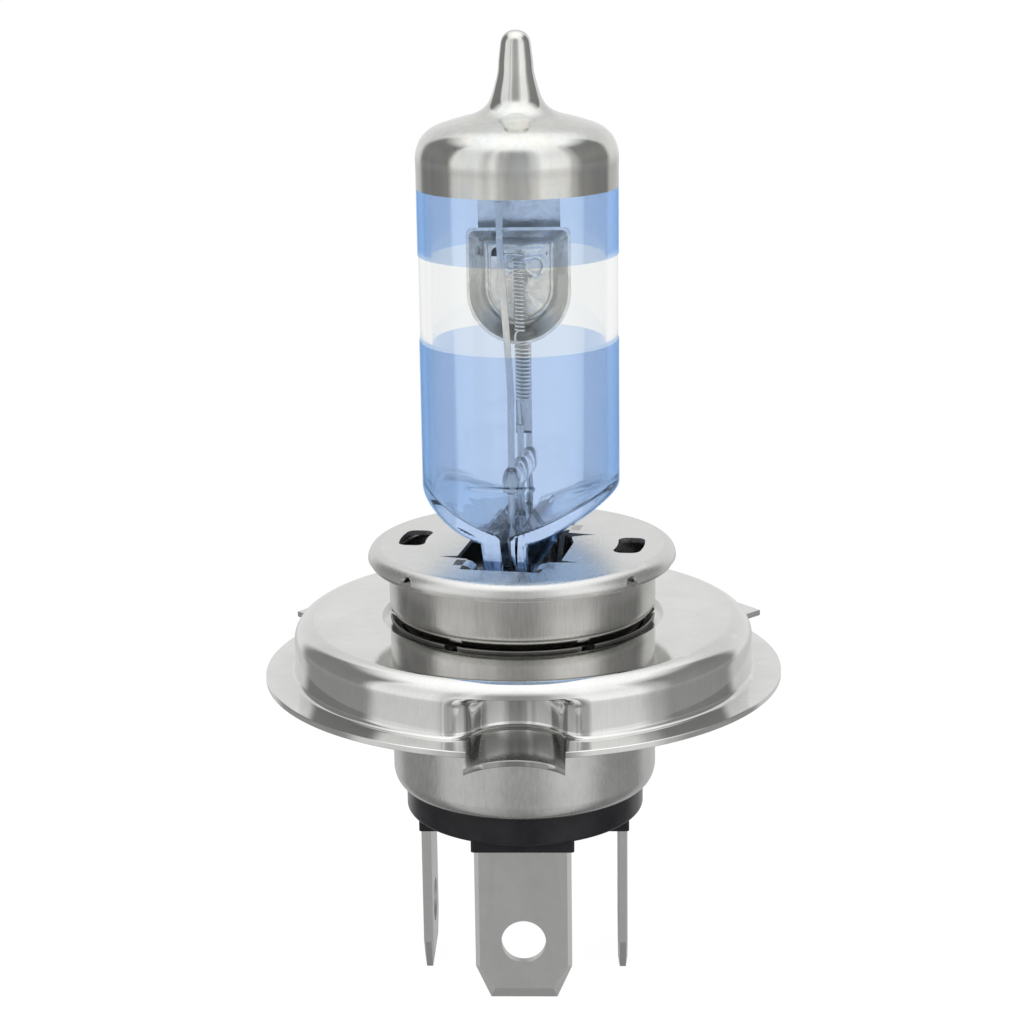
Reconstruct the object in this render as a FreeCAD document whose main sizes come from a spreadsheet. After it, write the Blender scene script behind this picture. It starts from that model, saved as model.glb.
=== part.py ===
import FreeCAD, Part
import math
import os

import Sketcher
from FreeCAD import Placement, Rotation, Vector

# Two-filament halogen headlight bulb with a three-lug flange and three blades.
# Frame: millimetres. The origin is on the lamp axis, in the reference plane, which is the
# glass-side face of the flange's rim. +Z runs to the glass tip, and the front lug, the front
# blade and the open side of the filament shield face -Y. The pinch seal is turned a little
# about Z, so the burner's own pieces are drawn square and turned with it.

DIMENSIONS = {
    # mounting flange, one sheet pressing
    "rim_radius": 21.5,
    "flange_sheet": 0.5,
    "plateau_radius": 19.05,
    "plateau_height": 4.5,
    "plateau_rounding": 1.7,
    "flange_hole_radius": 11.7,
    "scallop_radius": 4.2,
    "scallop_centre": 19.6,
    "scallop_corner": 2.1,
    "brow_inner_radius": 13.6,
    "brow_angle": 37.4,
    "front_lug_half_width": 3.8,
    "front_lug_reach": 25.15,
    "front_lug_dish_radius": 4.7,
    "rear_lug_half_width": 4.2,
    "rear_lug_reach": 25.5,
    "rear_lug_angle": 45.0,
    # thin drawn sheet of the base shell, collar and cap plate
    "thin_sheet": 0.4,
    "barrel_radius": 11.05,
    "barrel_bottom": -9.93,
    "barrel_lip_radius": 10.05,
    "barrel_rounding": 0.9,
    "brim_radius": 13.5,
    "collar_top": 9.1,
    "collar_roll_radius": 2.19,
    "collar_roll_top": 6.2,
    "collar_neck_radius": 9.95,
    "collar_neck_bottom": -1.5,
    "collar_lip_radius": 12.5,
    "cap_radius": 12.74,
    "cap_top": 10.6,
    "cap_skirt_bottom": 9.52,
    "cap_rounding": 1.05,
    "notch_width": 1.3,
    "notch_top": 10.2,
    "notch_count": 4,
    "notch_angle": 45.0,
    # finger ring between the collar's neck and the base shell
    "finger_sheet": 0.3,
    "finger_band_radius": 10.62,
    "finger_waist_radius": 10.3,
    "finger_tip_radius": 11.0,
    "finger_bottom": -1.0,
    "finger_band_top": 1.6,
    "finger_waist_height": 3.6,
    "finger_tip_height": 4.75,
    "finger_slope_rise": 0.33,
    "finger_slot": 1.2,
    "finger_count": 6,
    # opening of the cap plate round the pinch
    "slot_half": 3.3,
    "slot_front": 8.8,
    "slot_rear": 6.8,
    "window_half": 4.3,
    "window_front": 5.0,
    "window_rear": 3.1,
    "relief_reach": 5.7,
    "relief_width": 0.8,
    "relief_slant": 0.4,
    "horn_root": 0.3,
    "horn_rise": 0.2,
    "vent_inner": 8.0,
    "vent_outer": 10.2,
    "vent_outer_start": -21.0,
    "vent_outer_end": 5.0,
    "vent_inner_start": -26.0,
    "vent_inner_end": 8.0,
    "vent_corner": 0.4,
    "tongue_width": 1.6,
    "tongue_bend": 0.8,
    "tongue_foot": 7.4,
    # insulator and blades
    "insulator_radius": 10.0,
    "insulator_bottom": -12.4,
    "insulator_flange_radius": 10.3,
    "insulator_top": -7.0,
    "boss_height": 1.0,
    "boss_length": 8.5,
    "boss_depth": 1.9,
    "boss_offset": 7.85,
    "blade_width": 8.0,
    "blade_thickness": 0.8,
    "blade_tip": -26.4,
    "blade_taper_start": -23.6,
    "blade_tip_width": 5.5,
    "blade_offset": 8.25,
    "blade_hole_radius": 1.85,
    "blade_hole_height": -21.4,
    "blade_bevel": 0.2,
    "tang_width": 5.0,
    "tang_top": -5.2,
    "tang_clearance": 0.04,
    # glass envelope and its coats
    "glass_radius": 8.02,
    "glass_wall": 1.0,
    "pinch_wall": 0.95,
    "wide_press_x": -8.57,
    "wide_press_z": 40.39,
    "wide_press_radius": 30.0,
    "narrow_press_x": -5.98,
    "narrow_press_z": 17.0,
    "narrow_press_radius": 14.0,
    "pinch_bottom": -1.5,
    "pinch_half_thickness": 1.95,
    "pinch_half_width": 5.65,
    "pinch_turn": 10.0,
    "cavity_bottom": 10.3,
    "dome_edge": 45.0,
    "dome_rounding": 2.2,
    "neck_radius": 2.3,
    "neck_base": 45.9,
    "neck_rounding": 1.4,
    "tip_radius": 1.1,
    "tip_rounding": 0.94,
    "tip_top": 52.2,
    "coat_gap": 0.02,
    "coat_thickness": 0.06,
    "mirror_edge": 40.0,
    "upper_blue_edge": 34.7,
    "lower_blue_edge": 27.7,
    "coat_bottom": 9.6,
    # burner: leads, foils, bridge, shield and coils
    "lead_radius": 0.28,
    "lead_spacing": 3.6,
    "front_lead_straight": 23.6,
    "front_lead_shift_x": -0.75,
    "front_lead_shift_y": 1.3,
    "front_lead_upper_bend": 35.8,
    "front_lead_top": 39.2,
    "front_lead_bend": 2.0,
    "middle_lead_top": 20.6,
    "foil_bottom": 1.0,
    "foil_top": 7.0,
    "foil_width": 2.2,
    "foil_thickness": 0.1,
    "outer_lead_radius": 0.4,
    "outer_lead_drop": 1.6,
    "outer_lead_land": 0.6,
    "outer_lead_end_gap": 0.1,
    "outer_lead_bend": 0.6,
    "bridge_bottom": 15.6,
    "bridge_top": 18.0,
    "bridge_half_width": 0.7,
    "bridge_half_length": 4.6,
    "shield_half_width": 4.25,
    "shield_top": 36.8,
    "shield_straight_end": 31.6,
    "shield_point": 27.2,
    "shield_rim_plane": 0.5,
    "shield_depth": 2.7,
    "shield_taper": 26.0,
    "shield_sheet": 0.25,
    "shield_wall": 0.28,
    "shield_rounding": 0.9,
    "tab_half_width": 3.4,
    "tab_top": 39.6,
    "strip_centre": 0.25,
    "strip_half_width": 0.65,
    "strip_sheet": 0.2,
    "strip_plane": 1.1,
    "strip_bottom": 19.6,
    "strip_top": 27.3,
    "low_coil_x": 0.05,
    "low_coil_y": -0.1,
    "low_coil_bottom": 28.4,
    "low_coil_top": 34.3,
    "low_coil_radius": 0.38,
    "low_coil_turns": 19.0,
    "low_wire_radius": 0.095,
    "high_coil_y": -0.2,
    "high_coil_bottom": 22.7,
    "high_coil_top": 27.2,
    "high_coil_radius": 0.56,
    "high_coil_turns": 14.0,
    "high_wire_radius": 0.11,
}

# the leads stand in front of, on and behind the lamp axis, in steps of lead_spacing
LEAD_PLACES = (-1, 0, 1)
H_AXIS, V_AXIS, ORIGIN_POINT = -1, -2, 1
SMALL = 1e-6
NEAR = 1e-3

doc = FreeCAD.newDocument("HeadlightBulb")
sheet = doc.addObject("Spreadsheet::Sheet", "Dimensions")
for row, (alias, number) in enumerate(DIMENSIONS.items(), 1):
    sheet.set(f"A{row}", alias)
    sheet.set(f"B{row}", f"{number:g}")
    sheet.setAlias(f"B{row}", alias)
doc.recompute()


# ---------------------------------------------------------------- sizes and expressions
class Size:
    """A length that carries its number and the sheet expression it comes from."""

    def __init__(self, number, text):
        self.number = float(number)
        self.text = text

    def __add__(self, other):
        other = as_size(other)
        return Size(self.number + other.number, f"({self.text} + {other.text})")

    def __sub__(self, other):
        other = as_size(other)
        return Size(self.number - other.number, f"({self.text} - {other.text})")

    def __mul__(self, other):
        other = as_size(other)
        return Size(self.number * other.number, f"({self.text} * {other.text})")

    def __truediv__(self, other):
        other = as_size(other)
        return Size(self.number / other.number, f"({self.text} / {other.text})")

    def __neg__(self):
        return Size(-self.number, f"(0 - {self.text})")


def as_size(value):
    return value if isinstance(value, Size) else Size(value, f"({float(value):.9f})")


def root(size):
    return Size(math.sqrt(size.number), f"sqrt({size.text})")


class Driving:
    """Every driving dimension as an attribute: a Size bound to its cell."""

    def __init__(self):
        for alias in DIMENSIONS:
            setattr(self, alias, Size(getattr(sheet, alias), f"Dimensions.{alias}"))


dim = Driving()


def bind(target, path, size):
    size = as_size(size)
    target.setExpression(path, size.text)


# ---------------------------------------------------------------- sketches
def sketch_on(body, name, role, offset=None):
    """An empty sketch on one of the body's own origin planes."""
    sketch = body.newObject("Sketcher::SketchObject", name)
    plane = next(p for p in body.Origin.OriginFeatures if p.Role == role)
    sketch.AttachmentSupport = (plane, [""])
    sketch.MapMode = "FlatFace"
    if offset is not None:
        sketch.AttachmentOffset = offset
    return sketch


def tie_point(sketch, geometry, end, x, y):
    """Locates one vertex from the sketch's origin, with both distances bound to the sheet."""
    x, y = as_size(x), as_size(y)
    for kind, axis, size in (("DistanceX", V_AXIS, x), ("DistanceY", H_AXIS, y)):
        if abs(size.number) < SMALL:
            sketch.addConstraint(Sketcher.Constraint("PointOnObject", geometry, end, axis))
            continue
        if size.number > 0:
            ends = (H_AXIS, ORIGIN_POINT, geometry, end)
        else:
            ends = (geometry, end, H_AXIS, ORIGIN_POINT)
            size = -size
        index = sketch.addConstraint(Sketcher.Constraint(kind, *ends, size.number))
        bind(sketch, f"Constraints[{index}]", size)


def tie_radius(sketch, geometry, radius):
    radius = as_size(radius)
    index = sketch.addConstraint(Sketcher.Constraint("Radius", geometry, radius.number))
    bind(sketch, f"Constraints[{index}]", radius)


def arc_between(start, end, radius, turn):
    """The short arc from start to end. turn is 1 for counter-clockwise travel, -1 for clockwise."""
    middle = (start + end) * 0.5
    chord = end - start
    rise = math.sqrt(max(radius**2 - (chord.Length / 2) ** 2, 0.0))
    left = Vector(-chord.y, chord.x, 0).normalize()
    centre = middle + left * (rise * turn)
    first, last = (start, end) if turn > 0 else (end, start)
    angles = [math.atan2(p.y - centre.y, p.x - centre.x) for p in (first, last)]
    return Part.ArcOfCircle(Part.Circle(centre, Vector(0, 0, 1), radius), *angles)


def draw_outline(sketch, corners):
    """A closed outline. A corner is (x, y), or (x, y, radius, turn) when an arc arrives at it."""
    points = [Vector(as_size(c[0]).number, as_size(c[1]).number, 0) for c in corners]
    pieces = []
    for index, start in enumerate(points):
        following = (index + 1) % len(corners)
        if len(corners[following]) == 2:
            geometry = sketch.addGeometry(Part.LineSegment(start, points[following]))
            pieces.append((geometry, 1, 2))
            continue
        _, _, radius, turn = corners[following]
        arc = arc_between(start, points[following], as_size(radius).number, turn)
        geometry = sketch.addGeometry(arc)
        tie_radius(sketch, geometry, radius)
        pieces.append((geometry, 1, 2) if turn > 0 else (geometry, 2, 1))
    for index, (geometry, start, _) in enumerate(pieces):
        before, _, end = pieces[index - 1]
        sketch.addConstraint(Sketcher.Constraint("Coincident", before, end, geometry, start))
        tie_point(sketch, geometry, start, corners[index][0], corners[index][1])


def draw_circle(sketch, x, y, radius):
    radius = as_size(radius)
    centre = Vector(as_size(x).number, as_size(y).number, 0)
    geometry = sketch.addGeometry(Part.Circle(centre, Vector(0, 0, 1), radius.number))
    tie_point(sketch, geometry, 3, x, y)
    tie_radius(sketch, geometry, radius)


# ---------------------------------------------------------------- body features
def new_body(label, turn=0.0):
    body = doc.addObject("PartDesign::Body", label)
    body.Label = label
    body.Placement = Placement(Vector(), Rotation(Vector(0, 0, 1), turn))
    return body


def pad(body, sketch, length, both_ways=False, backwards=False, taper=None):
    feature = body.newObject("PartDesign::Pad", f"{body.Label}_pad")
    feature.Profile = sketch
    bind(feature, "Length", length)
    feature.SideType = "Symmetric" if both_ways else "One side"
    feature.Reversed = backwards
    if taper is not None:
        bind(feature, "TaperAngle", taper)
    return settle(feature)


def pocket(body, sketch, length=None, both_ways=False, backwards=False):
    """Cuts material and makes sure that the cut took some away."""
    before = body.Tip.Shape.Volume
    feature = body.newObject("PartDesign::Pocket", f"{body.Label}_pocket")
    feature.Profile = sketch
    if length is None:
        feature.Type = "ThroughAll"
    else:
        bind(feature, "Length", length)
    feature.SideType = "Symmetric" if both_ways else "One side"
    feature.Reversed = backwards
    settle(feature)
    if feature.Shape.Volume > before - SMALL:
        raise RuntimeError(f"{feature.Label} cut nothing")
    return feature


def revolve(body, corners):
    """Turns a radius-height outline about the lamp axis."""
    sketch = sketch_on(body, f"{body.Label}_profile", "XZ_Plane")
    draw_outline(sketch, corners)
    feature = body.newObject("PartDesign::Revolution", f"{body.Label}_revolution")
    feature.Profile = sketch
    feature.ReferenceAxis = (sketch, ["V_Axis"])
    feature.Angle = 360
    return settle(feature)


def polar(body, original, count):
    feature = body.newObject("PartDesign::PolarPattern", f"{body.Label}_pattern")
    feature.Originals = [original]
    axis = next(a for a in body.Origin.OriginFeatures if a.Role == "Z_Axis")
    feature.Axis = (axis, [""])
    feature.Angle = 360
    feature.Occurrences = count
    body.Tip = feature
    return settle(feature)


def dress(body, kind, size, chosen):
    """Rounds or bevels the edges of the body's tip that chosen accepts."""
    base = body.Tip
    names = [f"Edge{i}" for i, edge in enumerate(base.Shape.Edges, 1) if chosen(edge)]
    feature = body.newObject(f"PartDesign::{kind}", f"{body.Label}_{kind.lower()}")
    feature.Base = (base, names)
    bind(feature, "Radius" if kind == "Fillet" else "Size", size)
    return settle(feature)


def settle(feature):
    doc.recompute()
    if "Invalid" in feature.State or "Error" in feature.State or feature.Shape.isNull():
        raise RuntimeError(f"{feature.Label} failed")
    return feature


def ring(radius, height):
    """Accepts the circular edges about the lamp axis with this radius and height."""

    def test(edge):
        curve = edge.Curve
        if not isinstance(curve, Part.Circle):
            return False
        near = abs(curve.Radius - radius.number) < NEAR
        return near and abs(curve.Center.z - as_size(height).number) < NEAR

    return test


def level(height):
    """Accepts the edges that lie wholly at this height."""

    def test(edge):
        box = edge.BoundBox
        target = as_size(height).number
        return abs(box.ZMin - target) < NEAR and abs(box.ZMax - target) < NEAR

    return test


# ---------------------------------------------------------------- mounting flange
def draw_plateau(sketch, inset):
    """The plateau's plan: a circle bitten by the front scallop, with rounded bite corners."""
    main = dim.plateau_radius - inset
    bite = dim.scallop_radius + inset
    corner = dim.scallop_corner - inset
    bite_centre = Vector(0, -dim.scallop_centre.number, 0)
    inner, outer = main.number - corner.number, bite.number + corner.number
    y = (outer**2 - inner**2 - bite_centre.y**2) / (2 * dim.scallop_centre.number)
    x = math.sqrt(inner**2 - y**2)
    geometry = []
    right, left = Vector(x, y, 0), Vector(-x, y, 0)
    out = {side: centre * (main.number / inner) for side, centre in ((1, right), (-1, left))}
    toward = {}
    for side, centre in ((1, right), (-1, left)):
        toward[side] = bite_centre + (centre - bite_centre) * (bite.number / outer)
    angle = math.atan2(out[1].y, out[1].x)
    end_angle = math.atan2(out[-1].y, out[-1].x) + 2 * math.pi
    whole = Part.Circle(Vector(), Vector(0, 0, 1), main.number)
    geometry.append(sketch.addGeometry(Part.ArcOfCircle(whole, angle, end_angle)))
    geometry.append(sketch.addGeometry(arc_between(out[-1], toward[-1], corner.number, 1)))
    geometry.append(sketch.addGeometry(arc_between(toward[-1], toward[1], bite.number, -1)))
    geometry.append(sketch.addGeometry(arc_between(toward[1], out[1], corner.number, 1)))
    around, left_arc, bite_arc, right_arc = geometry
    joints = [(around, 2, left_arc, 1), (left_arc, 2, bite_arc, 2), (bite_arc, 1, right_arc, 1)]
    for joint in joints + [(right_arc, 2, around, 1)]:
        sketch.addConstraint(Sketcher.Constraint("Tangent", *joint))
    tie_point(sketch, around, 3, 0, 0)
    tie_point(sketch, bite_arc, 3, 0, -dim.scallop_centre)
    for arc, radius in ((around, main), (bite_arc, bite), (left_arc, corner), (right_arc, corner)):
        tie_radius(sketch, arc, radius)


def lug_corners(angle, half_width, reach, edge_radius, edge_turn):
    """Four corners of one lug, counter-clockwise, the first reached along the round rim."""
    cosine, sine = math.cos(math.radians(angle)), math.sin(math.radians(angle))
    root_distance = root(dim.rim_radius * dim.rim_radius - half_width * half_width)
    tip_distance = root(reach * reach - half_width * half_width)

    def corner(distance, across, *arc):
        return (distance * cosine - across * sine, distance * sine + across * cosine, *arc)

    return [
        corner(root_distance, -half_width, dim.rim_radius, 1),
        corner(tip_distance, -half_width),
        corner(tip_distance, half_width, edge_radius, edge_turn),
        corner(root_distance, half_width),
    ]


def scallop_brow(body):
    """The rolled top edge, which runs on across the front over the scallop."""
    sketch = sketch_on(body, "brow_profile", "YZ_Plane")
    shoulder = dim.plateau_height - dim.plateau_rounding
    flat_end = dim.plateau_radius - dim.plateau_rounding
    draw_outline(sketch, [
        (-dim.brow_inner_radius, shoulder),
        (-dim.brow_inner_radius, dim.plateau_height),
        (-flat_end, dim.plateau_height),
        (-dim.plateau_radius, shoulder, dim.plateau_rounding, 1),
    ])
    brow = body.newObject("PartDesign::Revolution", "brow")
    brow.Profile = sketch
    brow.ReferenceAxis = (sketch, ["V_Axis"])
    brow.Midplane = True
    bind(brow, "Angle", dim.brow_angle)
    settle(brow)


def mounting_flange():
    body = new_body("mounting_flange")
    plan = sketch_on(body, "plateau_plan", "XY_Plane")
    draw_plateau(plan, as_size(0))
    pad(body, plan, dim.plateau_height)
    dress(body, "Fillet", dim.plateau_rounding, level(dim.plateau_height))

    shell = body.newObject("PartDesign::Thickness", "plateau_shell")
    base = doc.getObject("mounting_flange_fillet")
    underside = [
        f"Face{i}"
        for i, face in enumerate(base.Shape.Faces, 1)
        if face.BoundBox.ZMax < SMALL
    ]
    shell.Base = (base, underside)
    bind(shell, "Value", dim.flange_sheet)
    shell.Reversed = True
    settle(shell)

    hole = sketch_on(body, "centre_hole", "XY_Plane")
    draw_circle(hole, 0, 0, dim.flange_hole_radius)
    pocket(body, hole, both_ways=True)

    scallop_brow(body)
    rim = sketch_on(body, "rim_plan", "XY_Plane")
    front = (dim.front_lug_half_width, dim.front_lug_reach, dim.front_lug_dish_radius, -1)
    rear = (dim.rear_lug_half_width, dim.rear_lug_reach, dim.rear_lug_reach, 1)
    rear_angle = DIMENSIONS["rear_lug_angle"]
    corners = lug_corners(-90, *front)
    corners += lug_corners(rear_angle, *rear)
    corners += lug_corners(180 - rear_angle, *rear)
    draw_outline(rim, corners)
    draw_plateau(rim, dim.flange_sheet)
    pad(body, rim, dim.flange_sheet, backwards=True)
    return body


# ---------------------------------------------------------------- base shell, collar, cap
def base_shell():
    """The barrel, with its bottom edge turned in and a brim welded under the plateau."""
    body = new_body("base_shell")
    inner = dim.barrel_radius - dim.thin_sheet
    brim_top = dim.plateau_height - dim.flange_sheet
    brim_bottom = brim_top - dim.thin_sheet
    revolve(body, [
        (dim.barrel_lip_radius, dim.barrel_bottom),
        (dim.barrel_radius, dim.barrel_bottom),
        (dim.barrel_radius, brim_bottom),
        (dim.brim_radius, brim_bottom),
        (dim.brim_radius, brim_top),
        (inner, brim_top),
        (inner, dim.barrel_bottom + dim.thin_sheet),
        (dim.barrel_lip_radius, dim.barrel_bottom + dim.thin_sheet),
    ])
    dress(body, "Fillet", dim.barrel_rounding, ring(dim.barrel_radius, dim.barrel_bottom))
    return body


def collar():
    """The short drum, its neck inside the base, and the notched lip under the cap plate."""
    body = new_body("collar")
    wall = dim.thin_sheet
    roll = dim.collar_roll_radius
    neck, inner_neck = dim.collar_neck_radius, dim.collar_neck_radius - wall
    drum, inner_drum = dim.barrel_radius, dim.barrel_radius - wall
    across = neck - (drum - roll)
    roll_bottom = dim.collar_roll_top - root(roll * roll - across * across)
    inner_roll = roll - wall
    inner_across = inner_neck - (drum - roll)
    inner_bottom = dim.collar_roll_top - root(inner_roll * inner_roll - inner_across * inner_across)
    revolve(body, [
        (neck, dim.collar_neck_bottom),
        (neck, roll_bottom),
        (drum, dim.collar_roll_top, roll, 1),
        (drum, dim.collar_top),
        (dim.collar_lip_radius, dim.collar_top),
        (dim.collar_lip_radius, dim.collar_top + wall),
        (inner_drum, dim.collar_top + wall),
        (inner_drum, dim.collar_roll_top),
        (inner_neck, inner_bottom, inner_roll, -1),
        (inner_neck, dim.collar_neck_bottom),
    ])
    notch_turn = Rotation(Vector(0, 0, 1), DIMENSIONS["notch_angle"])
    gap = sketch_on(body, "lip_gap", "XY_Plane", Placement(Vector(), notch_turn))
    half = dim.notch_width / 2
    start = drum + wall
    end = dim.collar_lip_radius + wall
    draw_outline(gap, [(start, -half), (end, -half), (end, half), (start, half)])
    first = pocket(body, gap, dim.collar_top * 4, both_ways=True)
    polar(body, first, DIMENSIONS["notch_count"])
    return body


def finger_ring():
    """A slotted spring sleeve: a band in the base shell, a waist on the neck and flared tips."""
    body = new_body("finger_ring")
    outer = dim.finger_band_radius
    wall = dim.finger_sheet
    slope = dim.finger_slope_rise
    revolve(body, [
        (outer - wall, dim.finger_bottom),
        (outer, dim.finger_bottom),
        (outer, dim.finger_band_top),
        (dim.finger_waist_radius, dim.finger_waist_height),
        (dim.finger_tip_radius, dim.finger_tip_height - slope),
        (dim.finger_tip_radius, dim.finger_tip_height),
        (dim.finger_waist_radius - wall, dim.finger_waist_height + slope),
        (dim.finger_waist_radius - wall, dim.finger_waist_height),
        (outer - wall, dim.finger_band_top),
    ])
    count = DIMENSIONS["finger_count"]
    turn = Placement(Vector(), Rotation(Vector(0, 1, 0), 180 / count))
    slot = sketch_on(body, "finger_slot", "XZ_Plane", turn)
    half = dim.finger_slot / 2
    top = dim.finger_tip_height + wall
    draw_outline(slot, [
        (-half, dim.finger_band_top),
        (half, dim.finger_band_top),
        (half, top),
        (-half, top),
    ])
    polar(body, pocket(body, slot, backwards=True), count)
    return body


def opening_corners():
    """The opening round the pinch: a slot, a window on each side and four relief cuts."""
    slant = dim.relief_slant
    horn_bottom = dim.window_rear - dim.relief_width
    right = [
        (dim.slot_half, -dim.slot_front),
        (dim.slot_half, -dim.window_front - dim.relief_width),
        (dim.relief_reach, -dim.window_front - slant),
        (dim.window_half, -dim.window_front),
        (dim.window_half, horn_bottom - dim.horn_root),
        (dim.relief_reach, horn_bottom + slant, dim.relief_reach, -1),
        (dim.relief_reach, horn_bottom + slant + dim.horn_rise),
        (dim.slot_half, dim.window_rear + dim.horn_rise),
        (dim.slot_half, dim.slot_rear),
    ]
    left = [(-x, y) for x, y, *_ in reversed(right)]
    # the left horn's arc is travelled the other way, so it arrives at the horn's root
    horn_root_place = len(right) - 1 - 4
    left[horn_root_place] += (dim.relief_reach, -1)
    return right + left


def vent_corners(side):
    """A curved vent on one side, with slanted ends."""
    ends = (
        (dim.vent_outer, "vent_outer_start"),
        (dim.vent_outer, "vent_outer_end"),
        (dim.vent_inner, "vent_inner_end"),
        (dim.vent_inner, "vent_inner_start"),
    )
    corners = []
    for radius, angle in ends:
        degrees = math.radians(DIMENSIONS[angle])
        corners.append((radius * (side * math.cos(degrees)), radius * (side * math.sin(degrees))))
    corners[1] += (dim.vent_outer, 1)
    corners[3] += (dim.vent_inner, -1)
    return corners


def vent_edge(edge):
    """Accepts the upright edges at the four corners of a vent."""
    box = edge.BoundBox
    upright = max(box.XLength, box.YLength) < SMALL
    reach = math.hypot(box.XMin, box.YMin)
    return upright and min(abs(reach - r.number) for r in (dim.vent_inner, dim.vent_outer)) < NEAR


def tongue(body, side, place):
    """One tongue, bent down out of the plate until its foot bears on the pinch."""
    offset = Placement(Vector(0, 0, -place), Rotation())
    sketch = sketch_on(body, "tongue_profile", "XZ_Plane", offset)
    sheet_size = dim.thin_sheet
    edge = dim.slot_half
    bend = dim.tongue_bend
    under = dim.cap_top - sheet_size
    foot = dim.pinch_half_thickness + dim.coat_gap + dim.coat_thickness + dim.coat_gap
    outline = [
        (edge + bend, dim.cap_top),
        (edge, dim.cap_top),
        (edge - bend, dim.cap_top - bend, bend, 1),
        (foot, dim.tongue_foot),
        (foot + sheet_size, dim.tongue_foot),
        (edge - bend + sheet_size, dim.cap_top - bend),
        (edge, under, bend - sheet_size, -1),
        (edge + bend, under),
    ]
    mirrored = [(c[0] * side, c[1], c[2], c[3] * side) if len(c) > 2 else (c[0] * side, c[1])
                for c in outline]
    draw_outline(sketch, mirrored)
    pad(body, sketch, dim.tongue_width, both_ways=True)


def cap_plate():
    turn = -DIMENSIONS["pinch_turn"]
    body = new_body("cap_plate", turn)
    wall = dim.thin_sheet
    revolve(body, [
        (0, dim.cap_top - wall),
        (dim.cap_radius - wall, dim.cap_top - wall),
        (dim.cap_radius - wall, dim.cap_skirt_bottom),
        (dim.cap_radius, dim.cap_skirt_bottom),
        (dim.cap_radius, dim.cap_top),
        (0, dim.cap_top),
    ])
    dress(body, "Fillet", dim.cap_rounding, ring(dim.cap_radius, dim.cap_top))
    inner_edge = ring(dim.cap_radius - wall, dim.cap_top - wall)
    dress(body, "Fillet", dim.cap_rounding - wall, inner_edge)

    opening = sketch_on(body, "pinch_opening", "XY_Plane")
    draw_outline(opening, opening_corners())
    pocket(body, opening, both_ways=True)
    for side in (1, -1):
        vent_turn = Placement(Vector(), Rotation(Vector(0, 0, 1), -turn))
        vent = sketch_on(body, "vent", "XY_Plane", vent_turn)
        draw_outline(vent, vent_corners(side))
        pocket(body, vent, both_ways=True)
    dress(body, "Fillet", dim.vent_corner, vent_edge)

    around = Placement(Vector(), Rotation(Vector(0, 1, 0), DIMENSIONS["notch_angle"] - turn))
    notch = sketch_on(body, "notch", "XZ_Plane", around)
    half = dim.notch_width / 2
    bottom = dim.cap_skirt_bottom - wall
    draw_outline(notch, [
        (-half, bottom),
        (half, bottom),
        (half, dim.notch_top - half),
        (0, dim.notch_top, half, 1),
        (-half, dim.notch_top - half, half, 1),
    ])
    polar(body, pocket(body, notch, backwards=True), DIMENSIONS["notch_count"])

    front = -(dim.window_front.number + dim.slot_front.number) / 2
    rear = (dim.window_rear.number + dim.slot_rear.number) / 2
    for side in (1, -1):
        for place in (front, rear):
            tongue(body, side, place)
    return body


# ---------------------------------------------------------------- insulator and blades
BLADE_ANGLES = {"front_terminal": 0, "left_terminal": -90, "right_terminal": 90}


def insulator_disc():
    """The moulded disc: a shoulder held by the barrel's lip, three bosses and three slots."""
    body = new_body("insulator_disc")
    shoulder = dim.barrel_bottom + dim.thin_sheet
    revolve(body, [
        (0, dim.insulator_bottom),
        (dim.insulator_radius, dim.insulator_bottom),
        (dim.insulator_radius, shoulder),
        (dim.insulator_flange_radius, shoulder),
        (dim.insulator_flange_radius, dim.insulator_top),
        (0, dim.insulator_top),
    ])
    for turn in BLADE_ANGLES.values():
        place = Placement(Vector(), Rotation(Vector(0, 0, 1), turn))
        boss = sketch_on(body, "boss", "XY_Plane", place)
        rectangle(boss, 0, -dim.boss_offset, dim.boss_length, dim.boss_depth)
        bind(boss, "AttachmentOffset.Base.z", dim.insulator_bottom - dim.boss_height)
        pad(body, boss, dim.boss_height)
    for turn in BLADE_ANGLES.values():
        place = Placement(Vector(), Rotation(Vector(0, 0, 1), turn))
        slot = sketch_on(body, "tang_slot", "XY_Plane", place)
        play = dim.tang_clearance * 2
        width = dim.tang_width + play
        rectangle(slot, 0, -dim.blade_offset, width, dim.blade_thickness + play)
        pocket(body, slot, both_ways=True)
    return body


def rectangle(sketch, x, y, width, depth):
    x, y = as_size(x), as_size(y)
    draw_outline(sketch, [
        (x - width / 2, y - depth / 2),
        (x + width / 2, y - depth / 2),
        (x + width / 2, y + depth / 2),
        (x - width / 2, y + depth / 2),
    ])


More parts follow.
